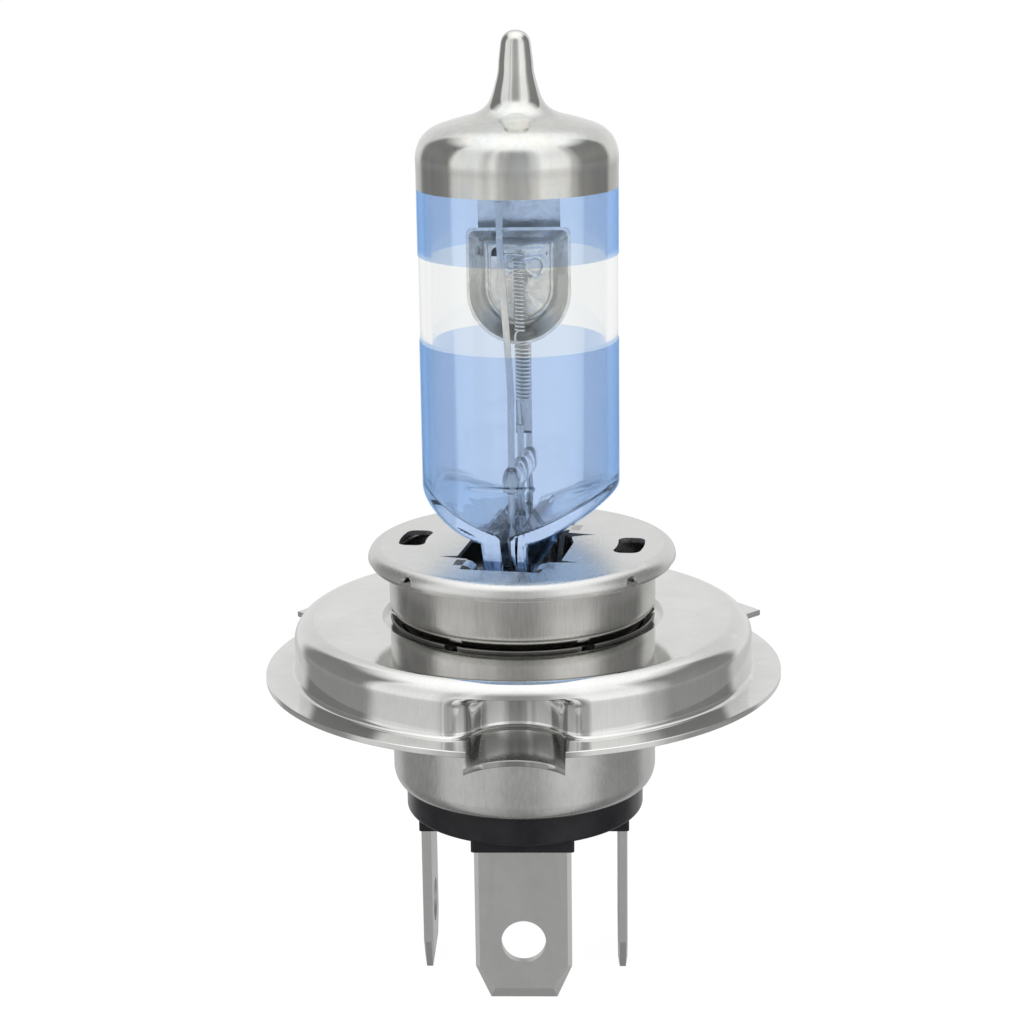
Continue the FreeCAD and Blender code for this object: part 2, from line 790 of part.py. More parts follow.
def terminal(label, turn):
    """A flat blade: tapered tip, detent hole, bevelled edges and a tang through the disc."""
    body = new_body(label, turn)
    outline = sketch_on(body, "blade_outline", "XZ_Plane")
    bind(outline, "AttachmentOffset.Base.z", dim.blade_offset)
    half, tip_half, tang_half = dim.blade_width / 2, dim.blade_tip_width / 2, dim.tang_width / 2
    shoulder = dim.insulator_bottom - dim.boss_height
    right = [
        (tip_half, dim.blade_tip),
        (half, dim.blade_taper_start),
        (half, shoulder),
        (tang_half, shoulder),
        (tang_half, dim.tang_top),
    ]
    left = [(-x, z) for x, z in reversed(right)]
    draw_outline(outline, right + left)
    pad(body, outline, dim.blade_thickness, both_ways=True)

    front, back = (-(dim.blade_offset + dim.blade_thickness / 2 * sign).number for sign in (1, -1))

    def bevelled(edge):
        box = edge.BoundBox
        below = box.ZMax < shoulder.number + SMALL and box.ZMin < shoulder.number - 1
        on_face = abs(box.YMin - box.YMax) < SMALL
        return below and on_face and min(abs(box.YMin - front), abs(box.YMin - back)) < NEAR

    dress(body, "Chamfer", dim.blade_bevel, bevelled)
    hole = sketch_on(body, "detent_hole", "XZ_Plane")
    draw_circle(hole, 0, dim.blade_hole_height, dim.blade_hole_radius)
    pocket(body, hole, backwards=True)
    return body


# ---------------------------------------------------------------- glass and coats
def press_height(x, centre_x, centre_z, radius):
    """Height at which a press tool's arc stands at distance x from the lamp axis."""
    across = x - centre_x
    return centre_z - root(radius * radius - across * across)


def press(body, plane, side, half, reach, arc, bottom):
    """Takes away what the press tool pushed in, on one side: below its arc and beyond half."""
    sketch = sketch_on(body, "press", plane)
    beyond = reach + 2
    low = press_height(half, *arc)
    high = press_height(reach, *arc)
    radius = arc[2]
    outline = [
        (half * side, bottom - 1),
        (half * side, low),
        (reach * side, high, radius, side),
        (beyond * side, high),
        (beyond * side, bottom - 1),
    ]
    draw_outline(sketch, outline)
    pocket(body, sketch, both_ways=True)


def press_flat(body, reach, grow, half_thickness, half_width, bottom):
    """Presses the lower end flat: first the two wide faces, then the two narrow ones."""
    wide = (dim.wide_press_x, dim.wide_press_z, dim.wide_press_radius + grow)
    narrow = (dim.narrow_press_x, dim.narrow_press_z, dim.narrow_press_radius + grow)
    for side in (1, -1):
        press(body, "XZ_Plane", side, half_thickness, reach, wide, bottom)
    for side in (1, -1):
        press(body, "YZ_Plane", side, half_width, reach, narrow, bottom)


def envelope_form(label, grow):
    """The envelope's outside, grown by a coat's thickness, with no hollow."""
    grow = as_size(grow)
    body = new_body(label, -DIMENSIONS["pinch_turn"])
    tube = dim.glass_radius + grow
    dome_edge, neck_base = dim.dome_edge + grow, dim.neck_base + grow
    neck, tip, top = dim.neck_radius + grow, dim.tip_radius + grow, dim.tip_top + grow
    bottom = dim.pinch_bottom
    corners = [(0, bottom), (tube, bottom), (tube, dome_edge), (neck, neck_base), (tip, top)]
    revolve(body, corners + [(0, top)])
    dress(body, "Fillet", dim.dome_rounding + grow, ring(tube, dome_edge))
    dress(body, "Fillet", dim.neck_rounding - grow, ring(neck, neck_base))
    dress(body, "Fillet", dim.tip_rounding, ring(tip, top))
    thickness, width = dim.pinch_half_thickness + grow, dim.pinch_half_width + grow
    press_flat(body, tube, grow, thickness, width, bottom)
    return body


def envelope_hollow():
    """The sealed hollow, and the beds of the foils and lead ends in the pinch."""
    body = new_body("envelope_hollow", -DIMENSIONS["pinch_turn"])
    inner = dim.glass_radius - dim.glass_wall
    dome = dim.dome_edge - dim.glass_wall
    stem = dim.tip_radius / 2
    bottom = dim.cavity_bottom
    revolve(body, [
        (0, bottom),
        (inner, bottom),
        (inner, dome),
        (stem * 2, dim.neck_base - dim.glass_wall),
        (stem, dim.neck_base + dim.glass_wall),
        (0, dim.neck_base + dim.glass_wall),
    ])
    dress(body, "Fillet", dim.dome_rounding - dim.glass_wall / 2, ring(inner, dome))
    wall = -dim.glass_wall * dim.pinch_wall
    slit_width = dim.pinch_half_width - dim.glass_wall
    press_flat(body, inner, wall, dim.foil_width / 4, slit_width, bottom)

    round_beds = (
        (dim.lead_radius, dim.foil_top, dim.cavity_bottom + 1),
        (dim.outer_lead_radius, dim.pinch_bottom, dim.foil_bottom),
    )
    for place in LEAD_PLACES:
        along = dim.lead_spacing * place
        bed = sketch_on(body, "foil_bed", "XY_Plane")
        rectangle(bed, 0, along, dim.foil_thickness, dim.foil_width)
        raised_pad(body, bed, dim.foil_bottom, dim.foil_top)
        for radius, low, high in round_beds:
            bed = sketch_on(body, "lead_bed", "XY_Plane")
            draw_circle(bed, 0, along, radius)
            raised_pad(body, bed, low, high)
    return body


def raised_pad(body, sketch, low, high):
    """Pads a sketch from one height to another. The hollow may be in several pieces meanwhile."""
    bind(sketch, "AttachmentOffset.Base.z", low)
    body.AllowCompound = True
    pad(body, sketch, high - low)


def boolean(kind, label, base, tool):
    feature = doc.addObject(f"Part::{kind}", label)
    feature.Label = label
    feature.Base = base
    feature.Tool = tool
    return settle(feature)


def glass_envelope():
    return boolean("Cut", "glass_envelope", envelope_form("envelope_outside", 0), envelope_hollow())


def coats():
    """Thin coats that follow the glass, each between two heights of one grown shell."""
    inside = envelope_form("coat_inside", dim.coat_gap)
    outside = envelope_form("coat_outside", dim.coat_gap + dim.coat_thickness)
    shell = boolean("Cut", "coat_shell", outside, inside)
    spans = {
        "mirror_cap_coating": (dim.mirror_edge, dim.tip_top + 1),
        "upper_blue_coating": (dim.upper_blue_edge, dim.mirror_edge - dim.coat_gap),
        "lower_blue_coating": (dim.coat_bottom, dim.lower_blue_edge),
    }
    pieces = []
    for label, (bottom, top) in spans.items():
        span = doc.addObject("Part::Cylinder", f"{label}_span")
        bind(span, "Radius", dim.glass_radius + 1)
        bind(span, "Height", top - bottom)
        bind(span, "Placement.Base.z", bottom)
        pieces.append(boolean("Common", label, shell, span))
    return pieces


# ---------------------------------------------------------------- burner
def turned_place(place):
    """A lead's place along the turned pinch, in the part's own frame. place is -1, 0 or 1."""
    angle = math.radians(DIMENSIONS["pinch_turn"])
    along = dim.lead_spacing.number * place
    return along * math.sin(angle), along * math.cos(angle)


def rounded_path(points, bend):
    """A wire through points, with each inner corner replaced by a tangent arc."""
    edges = []
    start = points[0]
    for before, corner, after in zip(points, points[1:], points[2:]):
        back = (before - corner).normalize()
        ahead = (after - corner).normalize()
        half_angle = back.getAngle(ahead) / 2
        trim = bend / math.tan(half_angle)
        first, last = corner + back * trim, corner + ahead * trim
        bisector = (back + ahead).normalize()
        middle = corner + bisector * (bend / math.sin(half_angle) - bend)
        edges.append(Part.LineSegment(start, first).toShape())
        edges.append(Part.Arc(first, middle, last).toShape())
        start = last
    edges.append(Part.LineSegment(start, points[-1]).toShape())
    return Part.Wire(edges)


def wire_along(label, path_wire, radius, coiled=False):
    """A round wire of the given radius swept along a path."""
    path = doc.addObject("Part::Feature", f"{label}_path")
    path.Shape = path_wire
    first = path_wire.OrderedEdges[0]
    start = first.valueAt(first.FirstParameter)
    tangent = first.tangentAt(first.FirstParameter)
    profile = doc.addObject("Part::Circle", f"{label}_profile")
    bind(profile, "Radius", radius)
    profile.Placement = Placement(start, Rotation(Vector(0, 0, 1), tangent))
    sweep = doc.addObject("Part::Sweep", label)
    sweep.Label = label
    sweep.Sections = [profile]
    sweep.Spine = (path, [])
    sweep.Solid = True
    sweep.Frenet = coiled
    return settle(sweep)


def low_beam_lead():
    """The front lead, bent back and to the left on its way up past the shield."""
    x, y = turned_place(-1)
    upper_x = x + dim.front_lead_shift_x.number
    upper_y = y + dim.front_lead_shift_y.number
    points = [
        Vector(x, y, dim.foil_top.number),
        Vector(x, y, dim.front_lead_straight.number),
        Vector(upper_x, upper_y, dim.front_lead_upper_bend.number),
        Vector(upper_x, upper_y, dim.front_lead_top.number),
    ]
    path = rounded_path(points, dim.front_lead_bend.number)
    return wire_along("low_beam_lead", path, dim.lead_radius)


def straight_lead(label, place, top):
    x, y = turned_place(place)
    line = Part.LineSegment(Vector(x, y, dim.foil_top.number), Vector(x, y, top.number))
    return wire_along(label, Part.Wire([line.toShape()]), dim.lead_radius)


def lead_bridge():
    """The glass bar that ties the three leads, seen end-on as an oval."""
    body = new_body("lead_bridge", -DIMENSIONS["pinch_turn"])
    sketch = sketch_on(body, "bridge_section", "XZ_Plane")
    half = dim.bridge_half_width
    low, high = dim.bridge_bottom + half, dim.bridge_top - half
    draw_outline(sketch, [
        (0, dim.bridge_bottom, half, 1),
        (half, low, half, 1),
        (half, high),
        (0, dim.bridge_top, half, 1),
        (-half, high, half, 1),
        (-half, low),
    ])
    pad(body, sketch, dim.bridge_half_length * 2, both_ways=True)
    channels = sketch_on(body, "lead_channels", "XY_Plane")
    for place in (-dim.lead_spacing, 0, dim.lead_spacing):
        draw_circle(channels, 0, place, dim.lead_radius)
    pocket(body, channels, both_ways=True)
    return body


def pinch_foils():
    """Three sealing foils, each a separate solid."""
    foils = []
    for place in LEAD_PLACES:
        foil = doc.addObject("Part::Box", "foil")
        bind(foil, "Length", dim.foil_thickness)
        bind(foil, "Width", dim.foil_width)
        bind(foil, "Height", dim.foil_top - dim.foil_bottom)
        bind(foil, "Placement.Base.x", dim.foil_thickness / -2)
        bind(foil, "Placement.Base.y", dim.lead_spacing * place - dim.foil_width / 2)
        bind(foil, "Placement.Base.z", dim.foil_bottom)
        foils.append(foil)
    group = doc.addObject("Part::Compound", "pinch_foils")
    group.Label = "pinch_foils"
    group.Links = foils
    group.Placement = Placement(Vector(), Rotation(Vector(0, 0, 1), -DIMENSIONS["pinch_turn"]))
    return settle(group)


def shield_corners(inset, sheet_size):
    """The cup's mouth: two straight sides that run into a pointed bow."""
    half = dim.shield_half_width - inset
    end = dim.shield_straight_end
    point = dim.shield_point + inset
    rise = end - point
    bow = (half * half + rise * rise) / (half * 2)
    top = dim.shield_top - sheet_size
    return [(half, top), (-half, top), (-half, end), (0, point, bow, 1), (half, end, bow, 1)]


def low_beam_shield():
    """The spoon-shaped cup with its mouth to the front, and the tab that hangs it."""
    body = new_body("low_beam_shield")
    mouth = sketch_on(body, "mouth", "XZ_Plane")
    bind(mouth, "AttachmentOffset.Base.z", -dim.shield_rim_plane)
    draw_outline(mouth, shield_corners(as_size(0), as_size(0)))
    pad(body, mouth, dim.shield_depth, backwards=True, taper=-dim.shield_taper)
    floor = dim.shield_rim_plane.number + dim.shield_depth.number
    dress(body, "Fillet", dim.shield_rounding, at_depth(floor))

    hollow = sketch_on(body, "hollow", "XZ_Plane")
    bind(hollow, "AttachmentOffset.Base.z", -dim.shield_rim_plane)
    wall = dim.shield_wall
    draw_outline(hollow, shield_corners(wall, wall))
    before = body.Tip.Shape.Volume
    cut = body.newObject("PartDesign::Pocket", "shield_hollow")
    cut.Profile = hollow
    bind(cut, "Length", dim.shield_depth - dim.shield_sheet)
    bind(cut, "TaperAngle", -dim.shield_taper)
    settle(cut)
    if cut.Shape.Volume > before - SMALL:
        raise RuntimeError("the shield's hollow cut nothing")
    inner_floor = floor - dim.shield_sheet.number
    dress(body, "Fillet", dim.shield_rounding - dim.shield_sheet, at_depth(inner_floor))

    tab = sketch_on(body, "tab", "XZ_Plane")
    front = dim.shield_rim_plane + dim.shield_depth - dim.shield_sheet
    bind(tab, "AttachmentOffset.Base.z", -front)
    start = dim.shield_top - dim.shield_depth
    rectangle(tab, 0, (start + dim.tab_top) / 2, dim.tab_half_width * 2, dim.tab_top - start)
    pad(body, tab, dim.shield_sheet, backwards=True)
    return body


def at_depth(depth):
    """Accepts the edges that lie wholly in the plane y = depth."""

    def test(edge):
        box = edge.BoundBox
        return abs(box.YMin - depth) < NEAR and abs(box.YMax - depth) < NEAR

    return test


def shield_support_strip():
    """The flat strip behind the lower coil, with a foot bent back to the common lead."""
    body = new_body("shield_support_strip")
    sketch = sketch_on(body, "strip_section", "YZ_Plane")
    bind(sketch, "AttachmentOffset.Base.z", dim.strip_centre)
    front, sheet_size = dim.strip_plane, dim.strip_sheet
    lead_face = turned_place(1)[1] - dim.lead_radius.number
    draw_outline(sketch, [
        (front, dim.strip_bottom),
        (lead_face, dim.strip_bottom),
        (lead_face, dim.strip_bottom + sheet_size),
        (front + sheet_size, dim.strip_bottom + sheet_size),
        (front + sheet_size, dim.strip_top),
        (front, dim.strip_top),
    ])
    pad(body, sketch, dim.strip_half_width * 2, both_ways=True)
    return body


POINTS_PER_TURN = 12


def coil_path(centre, radius, bottom, top, turns, lower_leg, upper_leg):
    """A smooth curve: lower leg, helix and upper leg."""
    count = int(turns * POINTS_PER_TURN)
    helix = []
    for step in range(count + 1):
        angle = 2 * math.pi * step / POINTS_PER_TURN
        height = bottom + (top - bottom) * step / count
        helix.append(centre + Vector(radius * math.sin(angle), radius * math.cos(angle), height))
    curve = Part.BSplineCurve()
    curve.interpolate(lower_leg + helix + upper_leg)
    return Part.Wire([curve.toShape()])


# The legs of the coils are free-form wire. Their points are offsets in millimetres: sideways and
# front to back from the coil's end or its neighbour, and up or down from the coil's end.
def low_beam_filament():
    """The lower beam's coil in the shield, from its front edge to the front lead."""
    centre = Vector(dim.low_coil_x.number, dim.low_coil_y.number, 0)
    bottom, top = dim.low_coil_bottom.number, dim.low_coil_top.number
    rim = dim.shield_rim_plane.number - dim.low_wire_radius.number
    lower = [
        Vector(-0.3, rim, bottom - 0.9),
        Vector(-0.35, rim - 0.07, bottom - 0.6),
        Vector(-0.25, rim - 0.1, bottom - 0.2),
    ]
    x, y = turned_place(-1)
    upper = [
        Vector(0.35, 0.2, top + 0.12),
        Vector(0.43, -0.12, top + 0.25),
        Vector(0.15, -0.45, top + 0.38),
        Vector(-0.4, -1.1, top + 0.55),
        Vector(x - 0.45, y + 1.53, top + 0.7),
    ]
    radius = dim.low_coil_radius.number
    turns = DIMENSIONS["low_coil_turns"]
    path = coil_path(centre, radius, bottom, top, turns, lower, upper)
    return wire_along("low_beam_filament", path, dim.low_wire_radius, coiled=True)


def high_beam_filament():
    """The upper beam's coil below the shield, from the middle lead to the strip."""
    centre = Vector(dim.strip_centre.number, dim.high_coil_y.number, 0)
    bottom, top = dim.high_coil_bottom.number, dim.high_coil_top.number
    lead_top = dim.middle_lead_top.number
    lower = [
        Vector(0, 0, lead_top + 0.05),
        Vector(-0.05, 0.05, lead_top + 0.7),
        Vector(-0.1, 0.15, lead_top + 1.3),
        Vector(-0.1, 0.28, bottom - 0.25),
    ]
    face = dim.strip_plane.number - dim.high_wire_radius.number
    upper = [Vector(0.5, 0.40, top + 0.06), Vector(0.66, 0.62, top + 0.1), Vector(0.7, face, top)]
    radius = dim.high_coil_radius.number
    turns = DIMENSIONS["high_coil_turns"]
    path = coil_path(centre, radius, bottom, top, turns, lower, upper)
    return wire_along("high_beam_filament", path, dim.high_wire_radius, coiled=True)


# ---------------------------------------------------------------- outer leads
def outer_lead(label, place, turn):
    """From the foot of the pinch down to the inner face of one blade's tang."""
    x, y = turned_place(place)
    reach = (dim.blade_offset - dim.blade_thickness / 2 - dim.outer_lead_radius).number
    direction = Rotation(Vector(0, 0, 1), turn).multVec(Vector(0, -1, 0))
    side = direction * reach
    drop = (dim.pinch_bottom - dim.outer_lead_drop).number
    points = [
        Vector(x, y, dim.foil_bottom.number),
        Vector(x, y, drop),
        Vector(side.x, side.y, (dim.tang_top + dim.outer_lead_land).number),
        Vector(side.x, side.y, (dim.insulator_top + dim.outer_lead_end_gap).number),
    ]
    path = rounded_path(points, dim.outer_lead_bend.number)
    return wire_along(label, path, dim.outer_lead_radius)


def outer_leads():
    names = ("front_outer_lead", "left_outer_lead", "right_outer_lead")
    return [
        outer_lead(name, place, turn)
        for name, place, turn in zip(names, LEAD_PLACES, BLADE_ANGLES.values())
    ]


# ---------------------------------------------------------------- build and write
def build_all():
    pieces = [mounting_flange(), base_shell(), collar(), finger_ring(), cap_plate()]
    pieces.append(insulator_disc())
    pieces += [terminal(label, turn) for label, turn in BLADE_ANGLES.items()]
    pieces += [glass_envelope()] + coats()
    pieces += [pinch_foils(), lead_bridge(), low_beam_lead()]
    pieces.append(straight_lead("high_beam_lead", 0, dim.middle_lead_top))
    pieces.append(straight_lead("common_lead", 1, dim.tab_top))
    pieces += [low_beam_shield(), shield_support_strip()]
    pieces += [low_beam_filament(), high_beam_filament()]
    pieces += outer_leads()
    return pieces


def check(pieces):
    doc.recompute()
    for item in doc.Objects:
        if "Invalid" in item.State or "Error" in item.State:
            raise RuntimeError(f"{item.Label} is in state {item.State}")
    for piece in pieces:
        if piece.Shape.isNull() or not piece.Shape.isValid() or not piece.Shape.Solids:
            raise RuntimeError(f"{piece.Label} has no valid solid")


def write(pieces):
    os.makedirs("parts", exist_ok=True)
    for piece in pieces:
        piece.Shape.exportStep(f"parts/{piece.Label}.step")
        box = piece.Shape.BoundBox
        print(f"{piece.Label:22s} solids {len(piece.Shape.Solids)}  volume {piece.Shape.Volume:9.2f}"
              f"  x {box.XMin:7.2f} {box.XMax:7.2f}  y {box.YMin:7.2f} {box.YMax:7.2f}"
              f"  z {box.ZMin:7.2f} {box.ZMax:7.2f}")


PIECES = build_all()
check(PIECES)
write(PIECES)
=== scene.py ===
import math

import bmesh
import bpy
from mathutils import Matrix, Vector, noise


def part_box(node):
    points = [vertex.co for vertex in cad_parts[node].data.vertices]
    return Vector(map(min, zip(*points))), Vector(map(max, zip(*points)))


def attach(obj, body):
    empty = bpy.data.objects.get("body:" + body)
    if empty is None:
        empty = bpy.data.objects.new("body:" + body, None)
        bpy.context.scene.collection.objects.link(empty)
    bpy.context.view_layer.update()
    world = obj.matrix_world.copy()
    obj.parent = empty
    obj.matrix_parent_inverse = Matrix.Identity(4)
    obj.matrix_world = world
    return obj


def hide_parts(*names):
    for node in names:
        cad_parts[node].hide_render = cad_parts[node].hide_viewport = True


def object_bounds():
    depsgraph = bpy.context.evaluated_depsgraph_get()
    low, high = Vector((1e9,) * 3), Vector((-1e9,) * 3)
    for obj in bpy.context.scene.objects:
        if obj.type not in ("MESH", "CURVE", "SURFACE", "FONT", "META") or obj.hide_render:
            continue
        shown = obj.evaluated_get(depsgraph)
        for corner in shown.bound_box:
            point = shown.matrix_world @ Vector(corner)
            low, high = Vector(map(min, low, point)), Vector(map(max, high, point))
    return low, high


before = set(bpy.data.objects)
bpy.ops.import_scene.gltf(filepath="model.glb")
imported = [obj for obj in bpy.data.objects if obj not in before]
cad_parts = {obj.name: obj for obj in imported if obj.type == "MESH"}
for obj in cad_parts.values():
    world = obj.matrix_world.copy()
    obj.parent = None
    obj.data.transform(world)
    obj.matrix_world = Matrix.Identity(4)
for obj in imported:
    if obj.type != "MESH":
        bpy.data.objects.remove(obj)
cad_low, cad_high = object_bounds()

# Looks of a two-filament headlight bulb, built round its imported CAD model.
# Lengths are in millimetres and become metres when a mesh is made. The frame is the part's:
# origin on the lamp axis at the rim's glass side, +Z to the glass tip, -Y to the front.
# The pinch seal and what is aligned with it are drawn square and turned by PINCH_TURN.

MM = 0.001


def span(node):
    """Lowest and highest corner of a CAD node, in millimetres."""
    low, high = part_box(node)
    return low / MM, high / MM


def bottom(node):
    return span(node)[0].z


def top(node):
    return span(node)[1].z


# ---- sizes
ROUND = 256
PINCH_TURN = Matrix.Rotation(math.radians(-10), 4, "Z")

SHEET = -bottom("mounting_flange")
PLATEAU_TOP = top("mounting_flange")
RIM_RADIUS = 21.5
PLATEAU_RADIUS = 19.05
PLATEAU_ROUNDING = 1.7
FOOT_ROUNDING = 0.45
FLANGE_HOLE = 11.7
SCALLOP_RADIUS = 4.2
SCALLOP_CENTRE = 19.6
SCALLOP_CORNER = 2.1
FRONT_LUG = {"angle": -90.0, "half": 3.8, "reach": 25.15}
REAR_LUGS = [{"angle": angle, "half": 4.2, "reach": 25.5} for angle in (45.0, 135.0)]
LUG_DISH_RADIUS = 4.7
# how far the rim's edge is broken, in width and in height
EDGE = 0.06
# the scallop is an alcove: its ceiling closes between these two heights, as a sine to a power
ALCOVE_OPEN, ALCOVE_CLOSED, ALCOVE_BOW = 2.5, 3.35, 1.6

# the sheet of the base shell, the collar and the cap plate
THIN = 0.4
BARREL_RADIUS = 11.05
BARREL_LIP = 10.05
# how far in and how far up the barrel's bottom edge is turned
BARREL_TURN = (0.9, 1.5)
# radius of the collar's rolled lower edge, and the height of its centre
COLLAR_ROLL, COLLAR_ROLL_TOP = 2.19, 6.2
BRIM_RADIUS = 13.5
NECK_RADIUS = 9.95
COLLAR_LIP = 12.5
CAP_RADIUS = 12.74
CAP_ROLL = 1.1
NOTCH_WIDTH, NOTCH_TOP = 1.3, 10.2

GLASS_RADIUS = 8.02
GLASS_WALL = 1.0
# each press tool leaves an arc: its centre's distance from the axis and height, and its radius
WIDE_PRESS = (-8.57, 40.39, 30.0)
NARROW_PRESS = (-5.98, 17.0, 14.0)
PINCH_HALF_THICKNESS = 1.95
PINCH_HALF_WIDTH = 5.65
DOME_EDGE = 45.0
NECK_BASE = 45.9
CAVITY_FLOOR = 10.3
CAVITY_HALF_THICKNESS = 0.5
# the glass is made of levels, close in the pressed taper and wide apart in the wall above it
TAPER_TOP, WALL_TOP = 19.0, 41.2
FINE_STEP, COARSE_STEP = 0.15, 1.0
PRESS_BLEND = 0.9
RIPPLE_SCALE, RIPPLE_DEPTH = 0.55, 0.07
# above the whole bulb, for a piece that closes over the tip
PAST_TIP = 99.0

LEAD_RADIUS = 0.28
LEAD_SPACING = 3.6
BLADE_OFFSET = 8.25
BLADE_THICKNESS = 0.8


# ---- outlines
def arc(centre, radius, start, end, count):
    """Points along an arc from start to end, in degrees, without the last one."""
    points = []
    for step in range(count):
        angle = math.radians(start + (end - start) * step / count)
        points.append((centre[0] + radius * math.cos(angle), centre[1] + radius * math.sin(angle)))
    return points


def rounded(corners, steps=10):
    """A closed outline. A corner (x, y, radius) becomes an arc, a corner (x, y) stays sharp."""
    outline = []
    for index, corner in enumerate(corners):
        here = Vector(corner[:2])
        if len(corner) == 2:
            outline.append(tuple(here))
            continue
        back = (Vector(corners[index - 1][:2]) - here).normalized()
        ahead = (Vector(corners[(index + 1) % len(corners)][:2]) - here).normalized()
        half = back.angle(ahead) / 2
        centre = here + (back + ahead).normalized() * (corner[2] / math.sin(half))
        first = here + back * (corner[2] / math.tan(half)) - centre
        last = here + ahead * (corner[2] / math.tan(half)) - centre
        turn = math.atan2(first.x * last.y - first.y * last.x, first.dot(last))
        for step in range(steps + 1):
            angle = turn * step / steps
            cosine, sine = math.cos(angle), math.sin(angle)
            turned = Vector((first.x * cosine - first.y * sine, first.x * sine + first.y * cosine))
            outline.append(tuple(centre + turned))
    return outline


def both_sides(right):
    """The corners of a right half, followed by their mirror images."""
    return right + [(-corner[0], *corner[1:]) for corner in reversed(right)]


def smooth_path(points, steps=8):
    """A curve through all the points, leaving and arriving along its end spans."""
    points = [Vector(p) for p in points]
    guides = [points[0] * 2 - points[1]] + points + [points[-1] * 2 - points[-2]]
    path = []
    for before, start, end, after in zip(guides, guides[1:], guides[2:], guides[3:]):
        for step in range(steps):
            share = step / steps
            path.append(
                start
                + (end - before) * (share / 2)
                + (before * 2 - start * 5 + end * 4 - after) * (share**2 / 2)
                + (start * 3 - before - end * 3 + after) * (share**3 / 2)
            )
    return path + [points[-1]]


# ---- meshes
def ring_faces(rows, columns, first=0, wrap=False):
    """Quads between rows of points, each row a closed ring."""
    faces = []
    for row in range(rows if wrap else rows - 1):
        here = first + row * columns
        above = first + (row + 1) % rows * columns
        for column in range(columns):
            right = (column + 1) % columns
            faces.append((here + column, here + right, above + right, above + column))
    return faces


def skin(rings, wrap=False):
    """Points and faces of a skin over rings. Without wrap the two ends are capped."""
    columns = len(rings[0])
    points = [point for ring in rings for point in ring]
    faces = ring_faces(len(rings), columns, wrap=wrap)
    if not wrap:
        faces.append(tuple(reversed(range(columns))))
        faces.append(tuple(range(len(points) - columns, len(points))))
    return points, faces


def lathe(profile, columns=ROUND):
    """Turns a closed outline of (radius, height) about the lamp axis."""
    angles = [2 * math.pi * column / columns for column in range(columns)]
    rings = [[(r * math.cos(a), r * math.sin(a), z) for a in angles] for r, z in profile]
    return skin(rings, wrap=True)


def prism(outline, low, high, place=Matrix.Identity(4)):
    """Pushes a flat outline from height low to height high, then places it."""
    rings = [[place @ Vector((x, y, z)) for x, y in outline] for z in (low, high)]
    return skin(rings)


def tube(path, radius, sides=14):
    """A round wire along a path, with its section carried along without twist."""
    path = [Vector(p) for p in path]
    side = (path[1] - path[0]).orthogonal().normalized()
    rings = []
    for index, point in enumerate(path):
        ahead = path[min(index + 1, len(path) - 1)] - path[max(index - 1, 0)]
        ahead.normalize()
        side = (side - ahead * side.dot(ahead)).normalized()
        other = ahead.cross(side)
        ring = []
        for step in range(sides):
            angle = 2 * math.pi * step / sides
            ring.append(point + (side * math.cos(angle) + other * math.sin(angle)) * radius)
        rings.append(ring)
    return skin(rings)


def joined(*parts):
    """Several (points, faces) pairs as one."""
    points, faces = [], []
    for more_points, more_faces in parts:
        start = len(points)
        points += list(more_points)
        faces += [tuple(start + index for index in face) for face in more_faces]
    return points, faces


def new_object(name, shape, outward=True):
    """An object from points in millimetres. Its faces are turned outward, unless outward is off."""
    points, faces = shape
    mesh = bpy.data.meshes.new(name)
    mesh.from_pydata([Vector(p) * MM for p in points], [], faces)
    if outward:
        work = bmesh.new()
        work.from_mesh(mesh)
        bmesh.ops.recalc_face_normals(work, faces=work.faces)
        work.to_mesh(mesh)
        work.free()
    made = bpy.data.objects.new(name, mesh)
    bpy.context.scene.collection.objects.link(made)
    return made


def bake(made):
    """Applies the modifiers of an object."""
    bpy.context.view_layer.update()
    evaluated = made.evaluated_get(bpy.context.evaluated_depsgraph_get())
    mesh = bpy.data.meshes.new_from_object(evaluated)
    made.modifiers.clear()
    made.data = mesh


def cut(made, *shapes):
    """Takes closed shapes out of an object."""
    for shape in shapes:
        tool = new_object("cutter", shape)
        modifier = made.modifiers.new("cut", "BOOLEAN")
        modifier.operation = "DIFFERENCE"
        modifier.solver = "EXACT"
        modifier.object = tool
        bake(made)
        bpy.data.objects.remove(tool)


def sheet_with_holes(name, outlines, low, high):
    """A flat sheet between two heights: the first outline is its edge and the others are holes."""
    curve = bpy.data.curves.new(name, "CURVE")
    curve.dimensions = "2D"
    curve.fill_mode = "BOTH"
    curve.extrude = (high - low) / 2 * MM
    for outline in outlines:
        spline = curve.splines.new("POLY")
        spline.points.add(len(outline) - 1)
        for point, (x, y) in zip(spline.points, outline):
            point.co = (x * MM, y * MM, 0, 1)
        spline.use_cyclic_u = True
    flat = bpy.data.objects.new(name, curve)
    bpy.context.scene.collection.objects.link(flat)
    bpy.context.view_layer.update()
    evaluated = flat.evaluated_get(bpy.context.evaluated_depsgraph_get())
    mesh = bpy.data.meshes.new_from_object(evaluated)
    mesh.transform(Matrix.Translation((0, 0, (low + high) / 2 * MM)))
    bpy.data.objects.remove(flat)
    made = bpy.data.objects.new(name, mesh)
    bpy.context.scene.collection.objects.link(made)
    return made


def finish_piece(made, nodes, material, sharp=38):
    """Shades a piece, gives it its material, hides the CAD nodes that it stands for and hangs it on
    the root body.
    """
    mesh = made.data
    mesh.polygons.foreach_set("use_smooth", [True] * len(mesh.polygons))
    mesh.set_sharp_from_angle(angle=math.radians(sharp))
    mesh.materials.clear()
    mesh.materials.append(material)
    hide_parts(*nodes)
    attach(made, "root")
    return made


